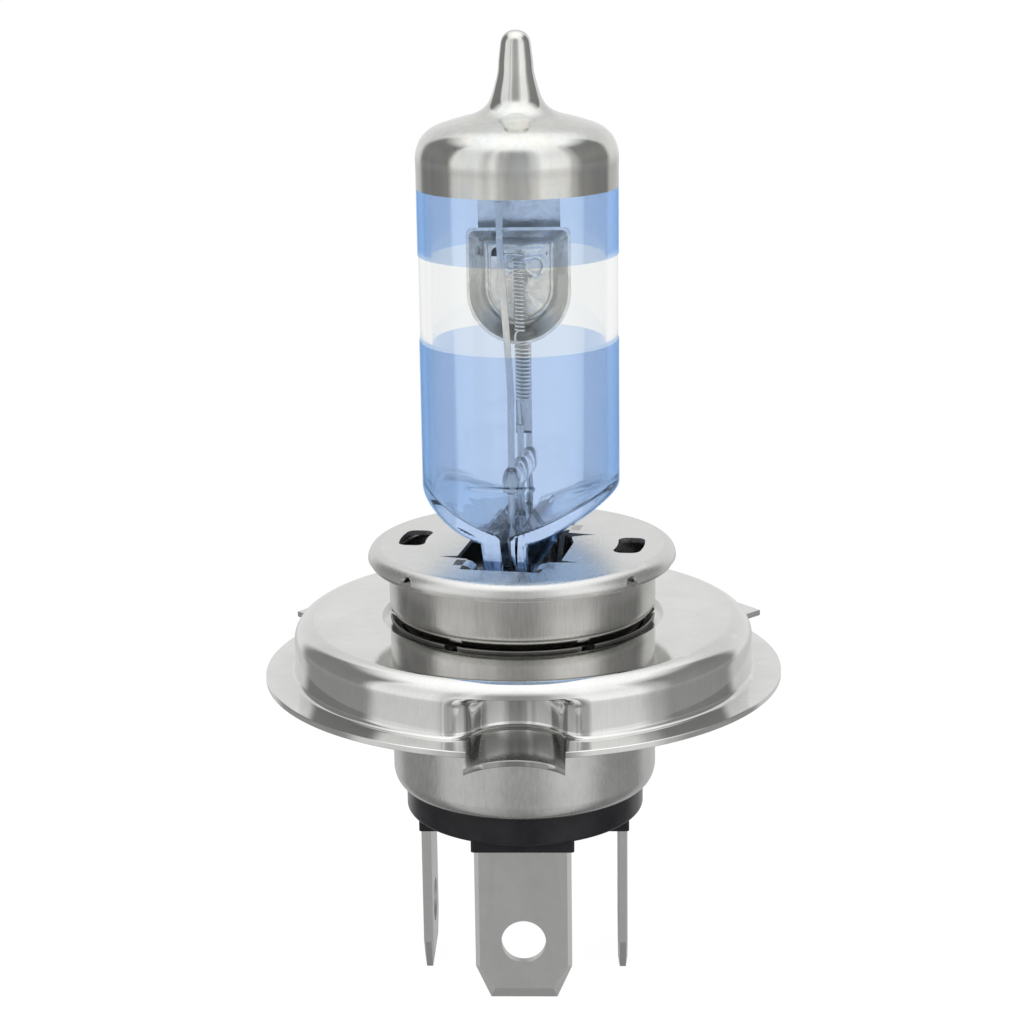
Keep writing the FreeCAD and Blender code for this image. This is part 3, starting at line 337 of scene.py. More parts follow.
# ---- shader nodes
class Shader:
    """Adds nodes to a tree. A keyword names an input, with _ for a space, or a property."""

    def __init__(self, tree):
        self.tree = tree

    def add(self, kind, *sources, out=0, **values):
        node = self.tree.nodes.new(f"ShaderNode{kind}")
        for key, value in values.items():
            if hasattr(node, key):
                setattr(node, key, value)
            else:
                self.feed(node.inputs[key.replace("_", " ")], value)
        for index, source in enumerate(sources):
            if source is not None:
                self.feed(node.inputs[index], source)
        return node.outputs[out]

    def feed(self, socket, value):
        if isinstance(value, bpy.types.NodeSocket):
            self.tree.links.new(value, socket)
        else:
            socket.default_value = value

    def math(self, operation, *sources):
        return self.add("Math", *sources, operation=operation)

    def ramp(self, factor, stops, interpolation="LINEAR"):
        """Maps a factor to a grey or a colour. stops is a list of (place, value)."""
        output = self.add("ValToRGB", factor)
        ramp = output.node.color_ramp
        ramp.interpolation = interpolation
        while len(ramp.elements) < len(stops):
            ramp.elements.new(1.0)
        for element, (place, value) in zip(ramp.elements, stops):
            element.position = place
            element.color = (*value, 1) if isinstance(value, tuple) else (value, value, value, 1)
        return output

    def scaled(self, vector, factors):
        return self.add("VectorMath", vector, factors, operation="MULTIPLY")

    def place(self):
        """The object's own coordinates, in millimetres."""
        return self.scaled(self.add("TexCoord", out=3), (1 / MM, 1 / MM, 1 / MM))

    def noise(self, vector, scale, detail=4.0, roughness=0.55):
        return self.add(
            "TexNoise", Vector=vector, Scale=scale, Detail=detail, Roughness=roughness
        )

    def mix(self, factor, first, second):
        node = self.tree.nodes.new("ShaderNodeMix")
        node.data_type = "RGBA"
        self.feed(node.inputs["Factor"], factor)
        self.feed(node.inputs["A"], first)
        self.feed(node.inputs["B"], second)
        return node.outputs["Result"]

    def mix_shader(self, factor, first, second):
        return self.add("MixShader", factor, first, second)


def new_material(name):
    material = bpy.data.materials.new(name)
    material.use_nodes = True
    material.node_tree.nodes.clear()
    return material, Shader(material.node_tree)


def surface(shader, output):
    """Makes a shader output the surface of its material."""
    shader.tree.links.new(output, shader.tree.nodes.new("ShaderNodeOutputMaterial").inputs[0])


def principled(shader, **values):
    surface(shader, shader.add("BsdfPrincipled", **values))


def grey(value, tint=(1.0, 1.0, 1.0)):
    """A colour of one brightness, tinted, with full alpha."""
    return tuple(value * channel for channel in tint) + (1.0,)


# ---- materials
# most of a noise texture's values lie between these two
NOISE = (0.3, 0.7)


def metal(name, value, tint, roughness, grain, grain_depth, blotch=0.08, aniso=0.0, wear=0.5,
          painted_alcove_shade=None):
    """Bare metal. grain stretches the fine marks along x, y and z: a small factor is a long mark.
    grain_depth is in millimetres, blotch is how much the tone varies, and wear brightens the edges.
    The last argument, a point and a distance, paints shade on the sheet near that point: painted shade
    for a recess such as the flange's front alcove."""
    material, s = new_material(name)
    place = s.place()
    marks = s.noise(s.scaled(place, grain), 1.0, 6.0, 0.65)
    patches = s.noise(place, 0.35, 3.0)
    specks = s.noise(place, 2.6, 2.0)
    tone = s.add("MapRange", marks, *NOISE, 1 - blotch, 1 + blotch)
    cloud = s.add("MapRange", patches, *NOISE, 1 - blotch, 1 + blotch)
    dirt = s.add("MapRange", specks, 0.62, 0.8, 1.0, 1 - blotch * 0.5)
    flat, ridge = 0.5, 0.54
    edge = s.add("MapRange", s.add("NewGeometry", out=7), flat, ridge, 1.0, 1 + 0.3 * wear)
    factor = s.math("MULTIPLY", s.math("MULTIPLY", tone, cloud), s.math("MULTIPLY", dirt, edge))
    # painted shade: near the given point the sheet is darkened, standing in for the shade of a recess
    if painted_alcove_shade:
        centre, reach = painted_alcove_shade
        core, darkest = 0.7, 0.45
        away = s.add("VectorMath", place, centre, operation="DISTANCE", out=1)
        shade = s.add("MapRange", away, reach * core, reach, darkest, 1.0)
        factor = s.math("MULTIPLY", factor, shade)
    colour = s.add("VectorMath", grey(value, tint)[:3], operation="SCALE", Scale=factor)
    rough = s.add("MapRange", marks, 0.25, 0.75, roughness * 0.75, roughness * 1.3)
    bump = s.add("Bump", Height=marks, Strength=0.6, Distance=grain_depth * MM)
    tangent = s.add("Tangent", direction_type="RADIAL", axis="Z")
    principled(s, Base_Color=colour, Metallic=1.0, Roughness=rough, Normal=bump,
               Anisotropic=aniso, Tangent=tangent)
    return material


def quartz(name, tint):
    """Clear quartz glass with faint drawing lines. Light passes straight through for shadows."""
    material, s = new_material(name)
    place = s.place()
    lines = s.noise(s.scaled(place, (0.5, 0.5, 0.06)), 1.0, 2.0)
    bump = s.add("Bump", Height=lines, Strength=0.15, Distance=0.05 * MM)
    shade = s.add("MapRange", lines, *NOISE, 0.985, 1.0)
    colour = s.add("VectorMath", tint, operation="SCALE", Scale=shade)
    glass = s.add("BsdfPrincipled", Base_Color=colour, Roughness=0.0, IOR=1.46,
                  Transmission_Weight=1.0, Normal=bump)
    clear = s.add("BsdfTransparent", (*tint, 1.0))
    surface(s, s.mix_shader(s.add("LightPath", out=1), glass, clear))
    return material


def blue_filter(name):
    """A clear interference coat: pale blue seen square on, deeper blue at a slant."""
    material, s = new_material(name)
    place = s.place()
    drift = s.add("MapRange", s.noise(place, 0.12, 2.0), *NOISE, -0.05, 0.05)
    slant = s.math("ADD", s.add("LayerWeight", 0.35, out=1), drift)
    tint = s.ramp(slant, [
        (0.0, (0.86, 0.91, 0.99)),
        (0.35, (0.83, 0.90, 0.99)),
        (0.6, (0.74, 0.86, 0.98)),
        (0.9, (0.68, 0.82, 0.97)),
    ])
    through = s.add("BsdfTransparent", tint)
    bump = s.add("Bump", Height=s.noise(place, 0.8, 3.0), Strength=0.1, Distance=0.02 * MM)
    sheen = s.add("BsdfGlossy", Color=(0.8, 0.88, 1.0, 1.0), Roughness=0.04, Normal=bump)
    fresnel = s.math("MULTIPLY", s.add("Fresnel", 1.5), 0.3)
    surface(s, s.mix_shader(fresnel, through, sheen))
    return material


def silver_coat(name):
    """The warm grey mirror coat: streaked and light on the dome, with painted shade at the wall's
    sides that stands in for dark reflections there.
    """
    material, s = new_material(name)
    place = s.place()
    streaks = s.noise(s.scaled(place, (1.6, 1.6, 0.25)), 1.0, 4.0)
    clouds = s.noise(place, 0.4, 3.0)
    tone = s.add("MapRange", streaks, *NOISE, 0.93, 1.04)
    warm = s.mix(s.add("MapRange", clouds, 0.35, 0.65, 0.0, 1.0),
                 (0.74, 0.73, 0.69, 1.0), (0.70, 0.72, 0.71, 1.0))
    # painted shade: below the shoulder the coat darkens where it turns away from the camera, standing
    # in for dark reflections
    wall_end, wall_start, darkest = 43.2, 41.8, 0.32
    wall = s.add("MapRange", s.add("SeparateXYZ", place, out=2), wall_end, wall_start, 0.0, darkest)
    side = s.add("MapRange", s.add("LayerWeight", 0.5, out=1), 0.02, 0.4, 0.0, 1.0)
    shade = s.math("SUBTRACT", 1.0, s.math("MULTIPLY", wall, side))
    colour = s.add("VectorMath", warm, operation="SCALE", Scale=s.math("MULTIPLY", tone, shade))
    bump = s.add("Bump", Height=clouds, Strength=0.25, Distance=0.06 * MM)
    rough = s.add("MapRange", streaks, *NOISE, 0.07, 0.13)
    principled(s, Base_Color=colour, Metallic=1.0, Roughness=rough, Normal=bump)
    return material


def black_moulding(name):
    """Glossy black moulded plastic with a faint flow texture and dusty scuffs."""
    material, s = new_material(name)
    place = s.place()
    flow = s.noise(place, 0.5, 5.0)
    grain = s.noise(place, 6.0, 3.0)
    scuffs = s.noise(place, 0.8, 5.0, 0.6)
    colour = s.ramp(flow, [(0.3, (0.005, 0.005, 0.006)), (0.75, (0.012, 0.011, 0.014))])
    rough = s.add("MapRange", scuffs, 0.3, 0.75, 0.16, 0.30)
    bump = s.add("Bump", Height=grain, Strength=0.15, Distance=0.01 * MM)
    principled(s, Base_Color=colour, Roughness=rough, Normal=bump, Specular_IOR_Level=0.3)
    return material


# ---- mounting flange
def plateau_ring(inset, height, bite=1.0):
    """The plateau's outline moved inward: a circle, with the front scallop cut in by bite, 0 to 1."""
    reach = PLATEAU_RADIUS - SCALLOP_CORNER
    gap = SCALLOP_RADIUS + SCALLOP_CORNER
    y = (gap**2 - reach**2 - SCALLOP_CENTRE**2) / (2 * SCALLOP_CENTRE)
    x = math.sqrt(reach**2 - y**2)
    around = math.degrees(math.atan2(y, x))
    toward = math.degrees(math.atan2(y + SCALLOP_CENTRE, x))
    corner = SCALLOP_CORNER - inset
    edge_points, corner_points, scallop_points = 324, 20, 44
    scallop = ((0, -SCALLOP_CENTRE), SCALLOP_RADIUS + inset)
    outline = arc((0, 0), PLATEAU_RADIUS - inset, around, 180 - around, edge_points)
    outline += arc((-x, y), corner, 180 - around, 360 - toward, corner_points)
    outline += arc(*scallop, 180 - toward, toward, scallop_points)
    outline += arc((x, y), corner, 180 + toward, 360 + around, corner_points)
    ring = []
    for px, py in outline:
        whole = (PLATEAU_RADIUS - inset) / math.hypot(px, py)
        scale = whole + (1 - whole) * bite
        ring.append((px * scale, py * scale, height))
    return ring


def alcove(height):
    """How far the scallop is cut in at a height: in full low down, not at all in the rolled edge."""
    share = (ALCOVE_CLOSED - height) / (ALCOVE_CLOSED - ALCOVE_OPEN)
    share = min(1.0, max(0.0, share))
    return math.sin(share * math.pi / 2) ** ALCOVE_BOW


def rim_reach(angle):
    """Distance from the axis to the rim's edge at an angle in degrees, lugs included."""
    for lug in [FRONT_LUG] + REAR_LUGS:
        off = math.radians(abs((angle - lug["angle"] + 180) % 360 - 180))
        if off > math.asin(lug["half"] / RIM_RADIUS):
            continue
        if off > math.asin(lug["half"] / lug["reach"]):
            return lug["half"] / math.sin(off)
        if lug is not FRONT_LUG:
            return lug["reach"]
        corner = math.sqrt(lug["reach"] ** 2 - lug["half"] ** 2)
        centre = corner + math.sqrt(LUG_DISH_RADIUS**2 - lug["half"] ** 2)
        return centre * math.cos(off) - math.sqrt(LUG_DISH_RADIUS**2 - (centre * math.sin(off)) ** 2)
    return RIM_RADIUS


def lug_angles():
    """Angles of all lug corners, where the rim needs a vertex."""
    angles = []
    for lug in [FRONT_LUG] + REAR_LUGS:
        for distance in (RIM_RADIUS, lug["reach"]):
            half = math.degrees(math.asin(lug["half"] / distance))
            angles += [lug["angle"] - half, lug["angle"] + half]
    return angles


def rim_ring(inset, height):
    """The rim's edge, with one point on the ray of each point of the plateau's foot."""
    foot = plateau_ring(-FOOT_ROUNDING, 0)
    angles = [math.degrees(math.atan2(y, x)) for x, y, _ in foot]
    for corner in lug_angles():
        off = [abs((angle - corner + 180) % 360 - 180) for angle in angles]
        angles[off.index(min(off))] = corner
    ring = []
    for angle in angles:
        distance = rim_reach(angle) - inset
        x, y = math.cos(math.radians(angle)), math.sin(math.radians(angle))
        ring.append((distance * x, distance * y, height))
    return ring


def hole_ring(height):
    """The round hole in the plateau, with one point on the ray of each point of the outline."""
    ring = []
    for x, y, _ in plateau_ring(PLATEAU_ROUNDING, 0, 0.0):
        scale = FLANGE_HOLE / math.hypot(x, y)
        ring.append((x * scale, y * scale, height))
    return ring


def mounting_flange(material):
    """One sheet pressing: flat top, rounded shoulder, wall, foot and rim, then the underside."""
    shoulder = PLATEAU_TOP - PLATEAU_ROUNDING
    # drops below the shoulder, where rows of points follow the alcove's closing ceiling
    closing, closing_under = (0.0, 0.06, 0.12, 0.2, 0.3, 0.45), (0.3, 0.1)
    wall_top = arc((PLATEAU_ROUNDING, shoulder), PLATEAU_ROUNDING, 90, 180, 24)
    wall_top += [(0, shoulder - drop) for drop in closing]
    foot_top = arc((-FOOT_ROUNDING, FOOT_ROUNDING), FOOT_ROUNDING, 0, -90, 6)
    thick = FOOT_ROUNDING + SHEET
    foot_under = arc((-FOOT_ROUNDING, FOOT_ROUNDING), thick, -90, 0, 8)
    inner = PLATEAU_ROUNDING - SHEET
    wall_under = [(SHEET, shoulder - drop) for drop in closing_under]
    wall_under += arc((PLATEAU_ROUNDING, shoulder), inner, 180, 90, 18)
    rings = [hole_ring(PLATEAU_TOP)]
    rings += [plateau_ring(inset, z, alcove(z)) for inset, z in wall_top]
    rings += [plateau_ring(inset, z) for inset, z in foot_top]
    rings += [plateau_ring(-FOOT_ROUNDING, 0)]
    rings += [rim_ring(EDGE, 0), rim_ring(0, -EDGE), rim_ring(0, EDGE - SHEET), rim_ring(EDGE, -SHEET)]
    rings += [plateau_ring(inset, z) for inset, z in foot_under]
    rings += [plateau_ring(inset, z, alcove(z - SHEET)) for inset, z in wall_under]
    underside = PLATEAU_TOP - SHEET
    rings += [plateau_ring(PLATEAU_ROUNDING, underside, 0.0), hole_ring(underside)]
    made = new_object("flange_pressing", skin(rings, wrap=True))
    return finish_piece(made, ["mounting_flange"], material)


# ---- base shell, collar, cap
def base_shell(material):
    """The barrel: its bottom edge turned in with a long curve, and the brim under the plateau."""
    low, high = bottom("base_shell"), top("base_shell")
    inner = BARREL_RADIUS - THIN
    across, along = BARREL_TURN
    turn = [
        (BARREL_RADIUS - across + across * x, low + along + along * z)
        for x, z in arc((0, 0), 1.0, -90, 0, 12)
    ]
    inside = [
        (inner - (across - THIN) * (1 - x), low + along + (along - THIN) * z)
        for x, z in arc((0, 0), 1.0, 0, -90, 12)
    ]
    profile = rounded([
        (BARREL_LIP, low, 0.05),
        *turn,
        (BARREL_RADIUS, high - THIN, 0.3),
        (BRIM_RADIUS, high - THIN, 0.1),
        (BRIM_RADIUS, high, 0.1),
        (inner, high),
        *inside,
        (BARREL_LIP, low + THIN, 0.12),
    ])
    made = new_object("barrel", lathe(profile))
    return finish_piece(made, ["base_shell"], material)


def notch_places():
    """The four notches stand halfway between the part's axes."""
    return [Matrix.Rotation(math.radians(45 + 90 * quarter), 4, "Z") for quarter in range(4)]


def collar(material):
    """The drum over its rolled lower edge, the neck below and the lip under the cap plate."""
    low, high = bottom("collar"), top("collar")
    drum_top = high - THIN
    inner = BARREL_RADIUS - THIN
    centre = (BARREL_RADIUS - COLLAR_ROLL, COLLAR_ROLL_TOP)
    start = math.degrees(math.acos((NECK_RADIUS - centre[0]) / COLLAR_ROLL))
    inner_start = math.degrees(math.acos((NECK_RADIUS - THIN - centre[0]) / (COLLAR_ROLL - THIN)))
    profile = rounded([
        (NECK_RADIUS, low, 0.1),
        *arc(centre, COLLAR_ROLL, -start, 0, 14),
        (BARREL_RADIUS, drum_top, 0.35),
        (COLLAR_LIP, drum_top, 0.12),
        (COLLAR_LIP, high, 0.12),
        (inner, high, 0.5),
        *arc(centre, COLLAR_ROLL - THIN, 0, -inner_start, 14),
        (NECK_RADIUS - THIN, low, 0.1),
    ])
    made = new_object("collar_drum", lathe(profile))
    half = NOTCH_WIDTH / 2
    start, end = BARREL_RADIUS + THIN, COLLAR_LIP + THIN
    gap = [(start, -half), (end, -half), (end, half), (start, half)]
    for place in notch_places():
        cut(made, prism(gap, drum_top - THIN, high + THIN, place))
    return finish_piece(made, ["collar"], material)


def finger_ring(material):
    """A spring band whose upper half is slit into fingers, drawn in at the waist and out again."""
    low, high = bottom("finger_ring"), top("finger_ring")
    band, waist, tip, wall = 10.62, 10.3, 11.0, 0.3
    band_top, waist_height = low + 2.6, low + 4.6
    fingers, slot_half = 6, 0.6
    profile = rounded([
        (band, low, 0.08),
        (band, band_top, 1.0),
        (waist, waist_height, 0.6),
        (tip, high - wall, 0.1),
        (tip, high, 0.1),
        (waist - wall, waist_height + wall, 0.5),
        (band - wall, band_top, 0.8),
        (band - wall, low, 0.08),
    ])
    made = new_object("spring_fingers", lathe(profile))
    start, end = band - 2, tip + 1
    slot = [(start, -slot_half), (end, -slot_half), (end, slot_half), (start, slot_half)]
    for finger in range(fingers):
        place = Matrix.Rotation(math.radians(360 / fingers * finger), 4, "Z")
        cut(made, prism(slot, band_top, high + 1, place))
    return finish_piece(made, ["finger_ring"], material)


SLOT_HALF, SLOT_FRONT, SLOT_REAR = 3.3, -8.8, 6.8
WINDOW_HALF, WINDOW_FRONT, WINDOW_REAR = 4.3, -5.0, 3.1
# the relief cuts: how far out they reach, and the arc that two of them follow
RELIEF_REACH, RELIEF_WIDTH, RELIEF_SLANT = 5.7, 0.8, 0.4
HORN_RADIUS, HORN_CENTRE, HORN_START, HORN_END = 3.5, (6.2, -0.5), 133, 98
VENT_INNER, VENT_OUTER, VENT_CORNER = 8.0, 10.2, 0.75
# the vent's two long edges in degrees from the side, the inner one back to front
VENT_OUTER_SWEEP, VENT_INNER_SWEEP = (-21, 5), (8, -26)


def pinch_opening():
    """The slot for the pinch, a window on each side and four relief cuts, two of them curved."""
    horn = arc(HORN_CENTRE, HORN_RADIUS, HORN_START, HORN_END, 6)
    right = [
        (SLOT_HALF, SLOT_FRONT, 0.3),
        (SLOT_HALF, WINDOW_FRONT - RELIEF_WIDTH),
        (RELIEF_REACH, WINDOW_FRONT - RELIEF_SLANT),
        (WINDOW_HALF, WINDOW_FRONT),
        (WINDOW_HALF, 0.3),
    ] + horn + [
        (RELIEF_REACH, WINDOW_REAR - 0.1),
        (SLOT_HALF, WINDOW_REAR + 0.2),
        (SLOT_HALF, SLOT_REAR, 0.3),
    ]
    return rounded(both_sides(right), 4)


def vent(side):
    """A curved vent with slanted ends and round corners, on the right (1) or left (-1)."""
    outline = []
    edges = ((VENT_OUTER, *VENT_OUTER_SWEEP, 6), (VENT_INNER, *VENT_INNER_SWEEP, 7))
    for radius, start, end, count in edges:
        sweep = arc((0, 0), radius, start, end, count) + arc((0, 0), radius, end, end + 1, 1)
        outline += [(*sweep[0], VENT_CORNER), *sweep[1:-1], (*sweep[-1], VENT_CORNER)]
    return rounded([(corner[0] * side, corner[1] * side, *corner[2:]) for corner in outline], 6)


def tongue(side, place):
    """A tongue bent down out of the plate until its foot bears on the pinch."""
    high, foot = top("cap_plate"), bottom("cap_plate")
    bend, width, gap = 0.8, 1.6, 0.1
    contact = PINCH_HALF_THICKNESS + gap
    profile = rounded([
        (SLOT_HALF + bend, high),
        (SLOT_HALF - bend, high, bend),
        (contact, foot, 0.05),
        (contact + THIN, foot, 0.05),
        (SLOT_HALF - bend + THIN, high - THIN, bend - THIN),
        (SLOT_HALF + bend, high - THIN),
    ])
    rings = [
        [PINCH_TURN @ Vector((x * side, place + half, z)) for x, z in profile]
        for half in (-width / 2, width / 2)
    ]
    return skin(rings)


def cap_plate(material):
    """The disc with its rolled edge, cut for the pinch, the vents and the skirt notches."""
    gap = 0.02
    high, low = top("cap_plate"), top("collar") + gap
    flat_edge = CAP_RADIUS - CAP_ROLL
    edge = rounded([
        (flat_edge, high - THIN),
        (CAP_RADIUS - THIN, high - THIN, 0.6),
        (CAP_RADIUS - THIN, low, 0.05),
        (CAP_RADIUS, low, 0.05),
        (CAP_RADIUS, high, 1.0),
        (flat_edge, high),
    ])
    made = new_object("cap_disc", lathe(edge))
    half = NOTCH_WIDTH / 2
    arch = [(-half, low - 1), (half, low - 1)] + arc((0, NOTCH_TOP - half), half, 0, 181, 13)
    upright = Matrix.Rotation(math.radians(90), 4, "X")
    for place in notch_places():
        cut(made, prism(arch, CAP_RADIUS - 1, CAP_RADIUS + 1, place @ upright))
    round_edge = arc((0, 0), flat_edge, 0, 360, ROUND)
    opening = [tuple((PINCH_TURN @ Vector((x, y, 0))).xy) for x, y in pinch_opening()]
    flat = sheet_with_holes("cap_flat", [round_edge, opening, vent(1), vent(-1)], high - THIN, high)
    front, rear = (WINDOW_FRONT + SLOT_FRONT) / 2, (WINDOW_REAR + SLOT_REAR) / 2
    tongues = [tongue(side, place) for side in (1, -1) for place in (front, rear)]
    add_shape(made, joined(*tongues))
    add_mesh(made, flat)
    return finish_piece(made, ["cap_plate"], material)


def add_mesh(made, extra):
    """Moves another object's mesh into an object."""
    work = bmesh.new()
    work.from_mesh(made.data)
    work.from_mesh(extra.data)
    work.to_mesh(made.data)
    work.free()
    bpy.data.objects.remove(extra)


def add_shape(made, shape):
    """Adds a separate closed shape to an object's mesh."""
    add_mesh(made, new_object("extra", shape))


# ---- insulator and blades
def insulator(material):
    """A moulded disc with a small flange inside the barrel and a boss round each blade."""
    low, high = bottom("insulator_disc"), top("insulator_disc")
    boss_height, radius, flange = 1.0, 10.0, 10.3
    face, shoulder = low + boss_height, bottom("base_shell") + THIN
    profile = rounded([
        (0.01, face),
        (radius, face, 0.35),
        (radius, shoulder, 0.05),
        (flange, shoulder, 0.05),
        (flange, high, 0.2),
        (0.01, high),
    ])
    made = new_object("insulator", lathe(profile))
    half, near, far, corner, overlap = 4.25, -8.8, -6.9, 0.25, 0.2
    boss = rounded([
        (-half, near, corner),
        (half, near, corner),
        (half, far, corner),
        (-half, far, corner),
    ], 5)
    for turn in BLADE_TURNS.values():
        place = Matrix.Rotation(math.radians(turn), 4, "Z")
        add_shape(made, prism(boss, low, face + overlap, place))
    return finish_piece(made, ["insulator_disc"], material)


BLADE_TURNS = {"front_terminal": 0, "left_terminal": -90, "right_terminal": 90}
BLADE_HALF, BLADE_TIP_HALF, TANG_HALF, BLADE_TAPER = 4.0, 2.75, 2.5, 2.8
BLADE_HOLE_DEPTH, BLADE_HOLE_RADIUS = 21.4, 1.85
BLADE_SIDE_BEVEL, BLADE_TIP_BEVEL, BLADE_BEVEL_DEPTH = 0.35, 0.8, 0.14
# the tang is bevelled less than the blade, because it sits in the disc
TANG_BEVEL = 0.05


def blade_outline(side, tip):
    """The blade's face: tapered tip, parallel sides, and the tang up into the disc."""
    low, high = bottom("front_terminal"), top("front_terminal")
    gap = 0.02
    shoulder = bottom("insulator_disc") - gap
    half, tip_half, tang = BLADE_HALF - side, BLADE_TIP_HALF - side, TANG_HALF - min(side, TANG_BEVEL)
    right = [
        (tip_half, low + tip, 0.1),
        (half, low + BLADE_TAPER, 0.3),
        (half, shoulder),
        (tang, shoulder),
        (tang, high),
    ]
    return rounded(both_sides(right), 5)


def blade(node, material):
    """A flat blade whose edges and tip are pressed to a bevel, with a round detent hole."""
    place = Matrix.Rotation(math.radians(BLADE_TURNS[node]), 4, "Z")
    face, shoulder = BLADE_THICKNESS / 2, BLADE_THICKNESS / 2 - BLADE_BEVEL_DEPTH
    rings = []
    for depth, side, tip in (
        (-face, BLADE_SIDE_BEVEL, BLADE_TIP_BEVEL),
        (-shoulder, 0, 0),
        (shoulder, 0, 0),
        (face, BLADE_SIDE_BEVEL, BLADE_TIP_BEVEL),
    ):
        outline = blade_outline(side, tip)
        rings.append([place @ Vector((x, depth - BLADE_OFFSET, z)) for x, z in outline])
    made = new_object(node.replace("terminal", "blade"), skin(rings))
    hole = arc((0, BLADE_HOLE_DEPTH), BLADE_HOLE_RADIUS, 0, 360, 96)
    upright = place @ Matrix.Rotation(math.radians(-90), 4, "X")
    cut(made, prism(hole, -BLADE_OFFSET - 2, -BLADE_OFFSET + 2, upright))
    return finish_piece(made, [node], material, 6)


# ---- glass and coats
def press_limit(height, press, grow, least):
    """How far the glass reaches from the mid-plane under one press tool, at a height."""
    centre_x, centre_z, radius = press
    radius += grow
    below = centre_z - height
    if below <= 0:
        return None
    if below >= radius:
        return least
    return max(least, centre_x + math.sqrt(radius**2 - below**2))


def soft_least(first, second, blend):
    """The smaller of two values, with a rounded change-over."""
    share = max(blend - abs(first - second), 0) / blend
    return min(first, second) - share**2 * blend / 4


def glass_ring(radius, height, grow, least, wave=0.0):
    """One level of the envelope: the round tube, pressed flat from two sides lower down."""
    wide = press_limit(height, WIDE_PRESS, grow, least[0])
    narrow = press_limit(height, NARROW_PRESS, grow, least[1])
    ring = []
    for column in range(ROUND):
        angle = 2 * math.pi * column / ROUND
        cosine, sine = math.cos(angle), math.sin(angle)
        distance = radius
        for limit, part in ((wide, abs(cosine)), (narrow, abs(sine))):
            if limit is not None and part > 1e-6:
                distance = soft_least(distance, limit / part, PRESS_BLEND)
        point = Vector((distance * cosine, distance * sine, height))
        if wave:
            ripple = noise.noise(point * RIPPLE_SCALE) * wave
            point.x += ripple * cosine
            point.y += ripple * sine
        ring.append(PINCH_TURN @ point)
    return ring


# the exhaust tip's round end: its radius, and its centre's distance from the axis
KNOB_RADIUS, KNOB_OFFSET = 1.0, 0.12
# radius and height down the drawn-out exhaust tip and over the dome to its shoulder
TIP_OUTLINE = [
    (1.13, 51.2), (1.29, 49.9), (1.37, 49.0), (1.62, 48.0), (1.9, 47.1), (2.2, 46.55), (2.65, 46.1),
    (3.4, 45.72), (4.5, 45.42), (5.6, 45.1), (6.6, 44.72), (7.3, 44.2), (7.75, 43.55),
    (GLASS_RADIUS, 42.6), (GLASS_RADIUS, 41.4),
]


def dome_profile(grow):
    """Radius and height from the shoulder over the dome and up the exhaust tip."""
    lift = 0.6
    blunt = top("glass_envelope") - KNOB_RADIUS
    knob = arc((KNOB_OFFSET, blunt), KNOB_RADIUS + grow, 88, 4, 10)
    side = [(r + grow, z + grow * lift) for r, z in TIP_OUTLINE]
    return list(reversed(knob + [tuple(point) for point in smooth_path(side, 6)]))


def tube_heights(low, high, step):
    """Even heights from low up to high, without high itself."""
    count = max(int(round((high - low) / step)), 1)
    return [low + (high - low) * index / count for index in range(count)]


def outside_rings(grow, low, high):
    """Levels of the envelope's outside between two heights, grown by a coat's thickness."""
    least = (PINCH_HALF_THICKNESS + grow, PINCH_HALF_WIDTH + grow)
    near = 0.01
    heights = tube_heights(bottom("glass_envelope"), TAPER_TOP, FINE_STEP)
    heights += tube_heights(TAPER_TOP, WALL_TOP, COARSE_STEP)
    heights = [low] + [z for z in heights if low + near < z < high - near]
    levels = [(GLASS_RADIUS + grow, z) for z in heights]
    levels += [(r, z) for r, z in dome_profile(grow) if low < z < high]
    if high != PAST_TIP:
        levels.append((GLASS_RADIUS + grow, high))
    return [glass_ring(r, z, grow, least) for r, z in levels]


def cavity_rings():
    """Levels of the sealed hollow, from its pressed valley up to the closed dome."""
    wall = GLASS_WALL
    inner = GLASS_RADIUS - wall
    least = (CAVITY_HALF_THICKNESS, PINCH_HALF_WIDTH - wall)
    # inside each press arc the glass is a little thinner than elsewhere
    grow = -wall * 0.95
    valley_depth, valley_rows, fade_length = 0.9, 6, 6
    rings = []
    floor = glass_ring(inner, CAVITY_FLOOR, grow, least, RIPPLE_DEPTH)
    for step in range(1, valley_rows + 1):
        angle = math.radians(90 / valley_rows * step)
        share, drop = math.sin(angle), valley_depth * math.cos(angle)
        rings.append([Vector((p.x * share, p.y * share, p.z - drop)) for p in floor])
    for z in tube_heights(CAVITY_FLOOR, TAPER_TOP, FINE_STEP)[1:]:
        fade = min(1.0, max(0.0, (TAPER_TOP - z) / fade_length))
        rings.append(glass_ring(inner, z, grow, least, RIPPLE_DEPTH * fade))
    corners = [
        (inner, TAPER_TOP),
        (inner, DOME_EDGE - wall, 1.8),
        (1.4, NECK_BASE - wall, 0.8),
        (0.5, NECK_BASE + wall * 1.5, 0.4),
        (0.0, NECK_BASE + wall * 1.5),
    ]
    for r, z in rounded(corners, 10)[:-1]:
        rings.append(glass_ring(r, z, grow, least))
    return rings


def reversed_faces(shape):
    """A shape turned inside out, for the wall of a hollow."""
    points, faces = shape
    return points, [tuple(reversed(face)) for face in faces]


def glass_envelope(material):
    """Solid quartz between the outside and the sealed hollow."""
    outside = skin(outside_rings(0.0, bottom("glass_envelope"), PAST_TIP))
    hollow = reversed_faces(skin(cavity_rings()))
    made = new_object("quartz_tube", joined(outside, hollow), outward=False)
    return finish_piece(made, ["glass_envelope"], material, 60)


COAT_GAP, COAT_THICKNESS = 0.02, 0.06


def coat(name, node, low, high, material):
    """A thin shell that follows the glass between two heights, or closes over its tip."""
    inside = outside_rings(COAT_GAP, low, high)
    outside = outside_rings(COAT_GAP + COAT_THICKNESS, low, high)
    if high == PAST_TIP:
        shape = skin(inside[::-1] + outside)
    else:
        shape = skin(outside + inside[::-1], wrap=True)
    made = new_object(name, shape)
    return finish_piece(made, [node], material, 60)


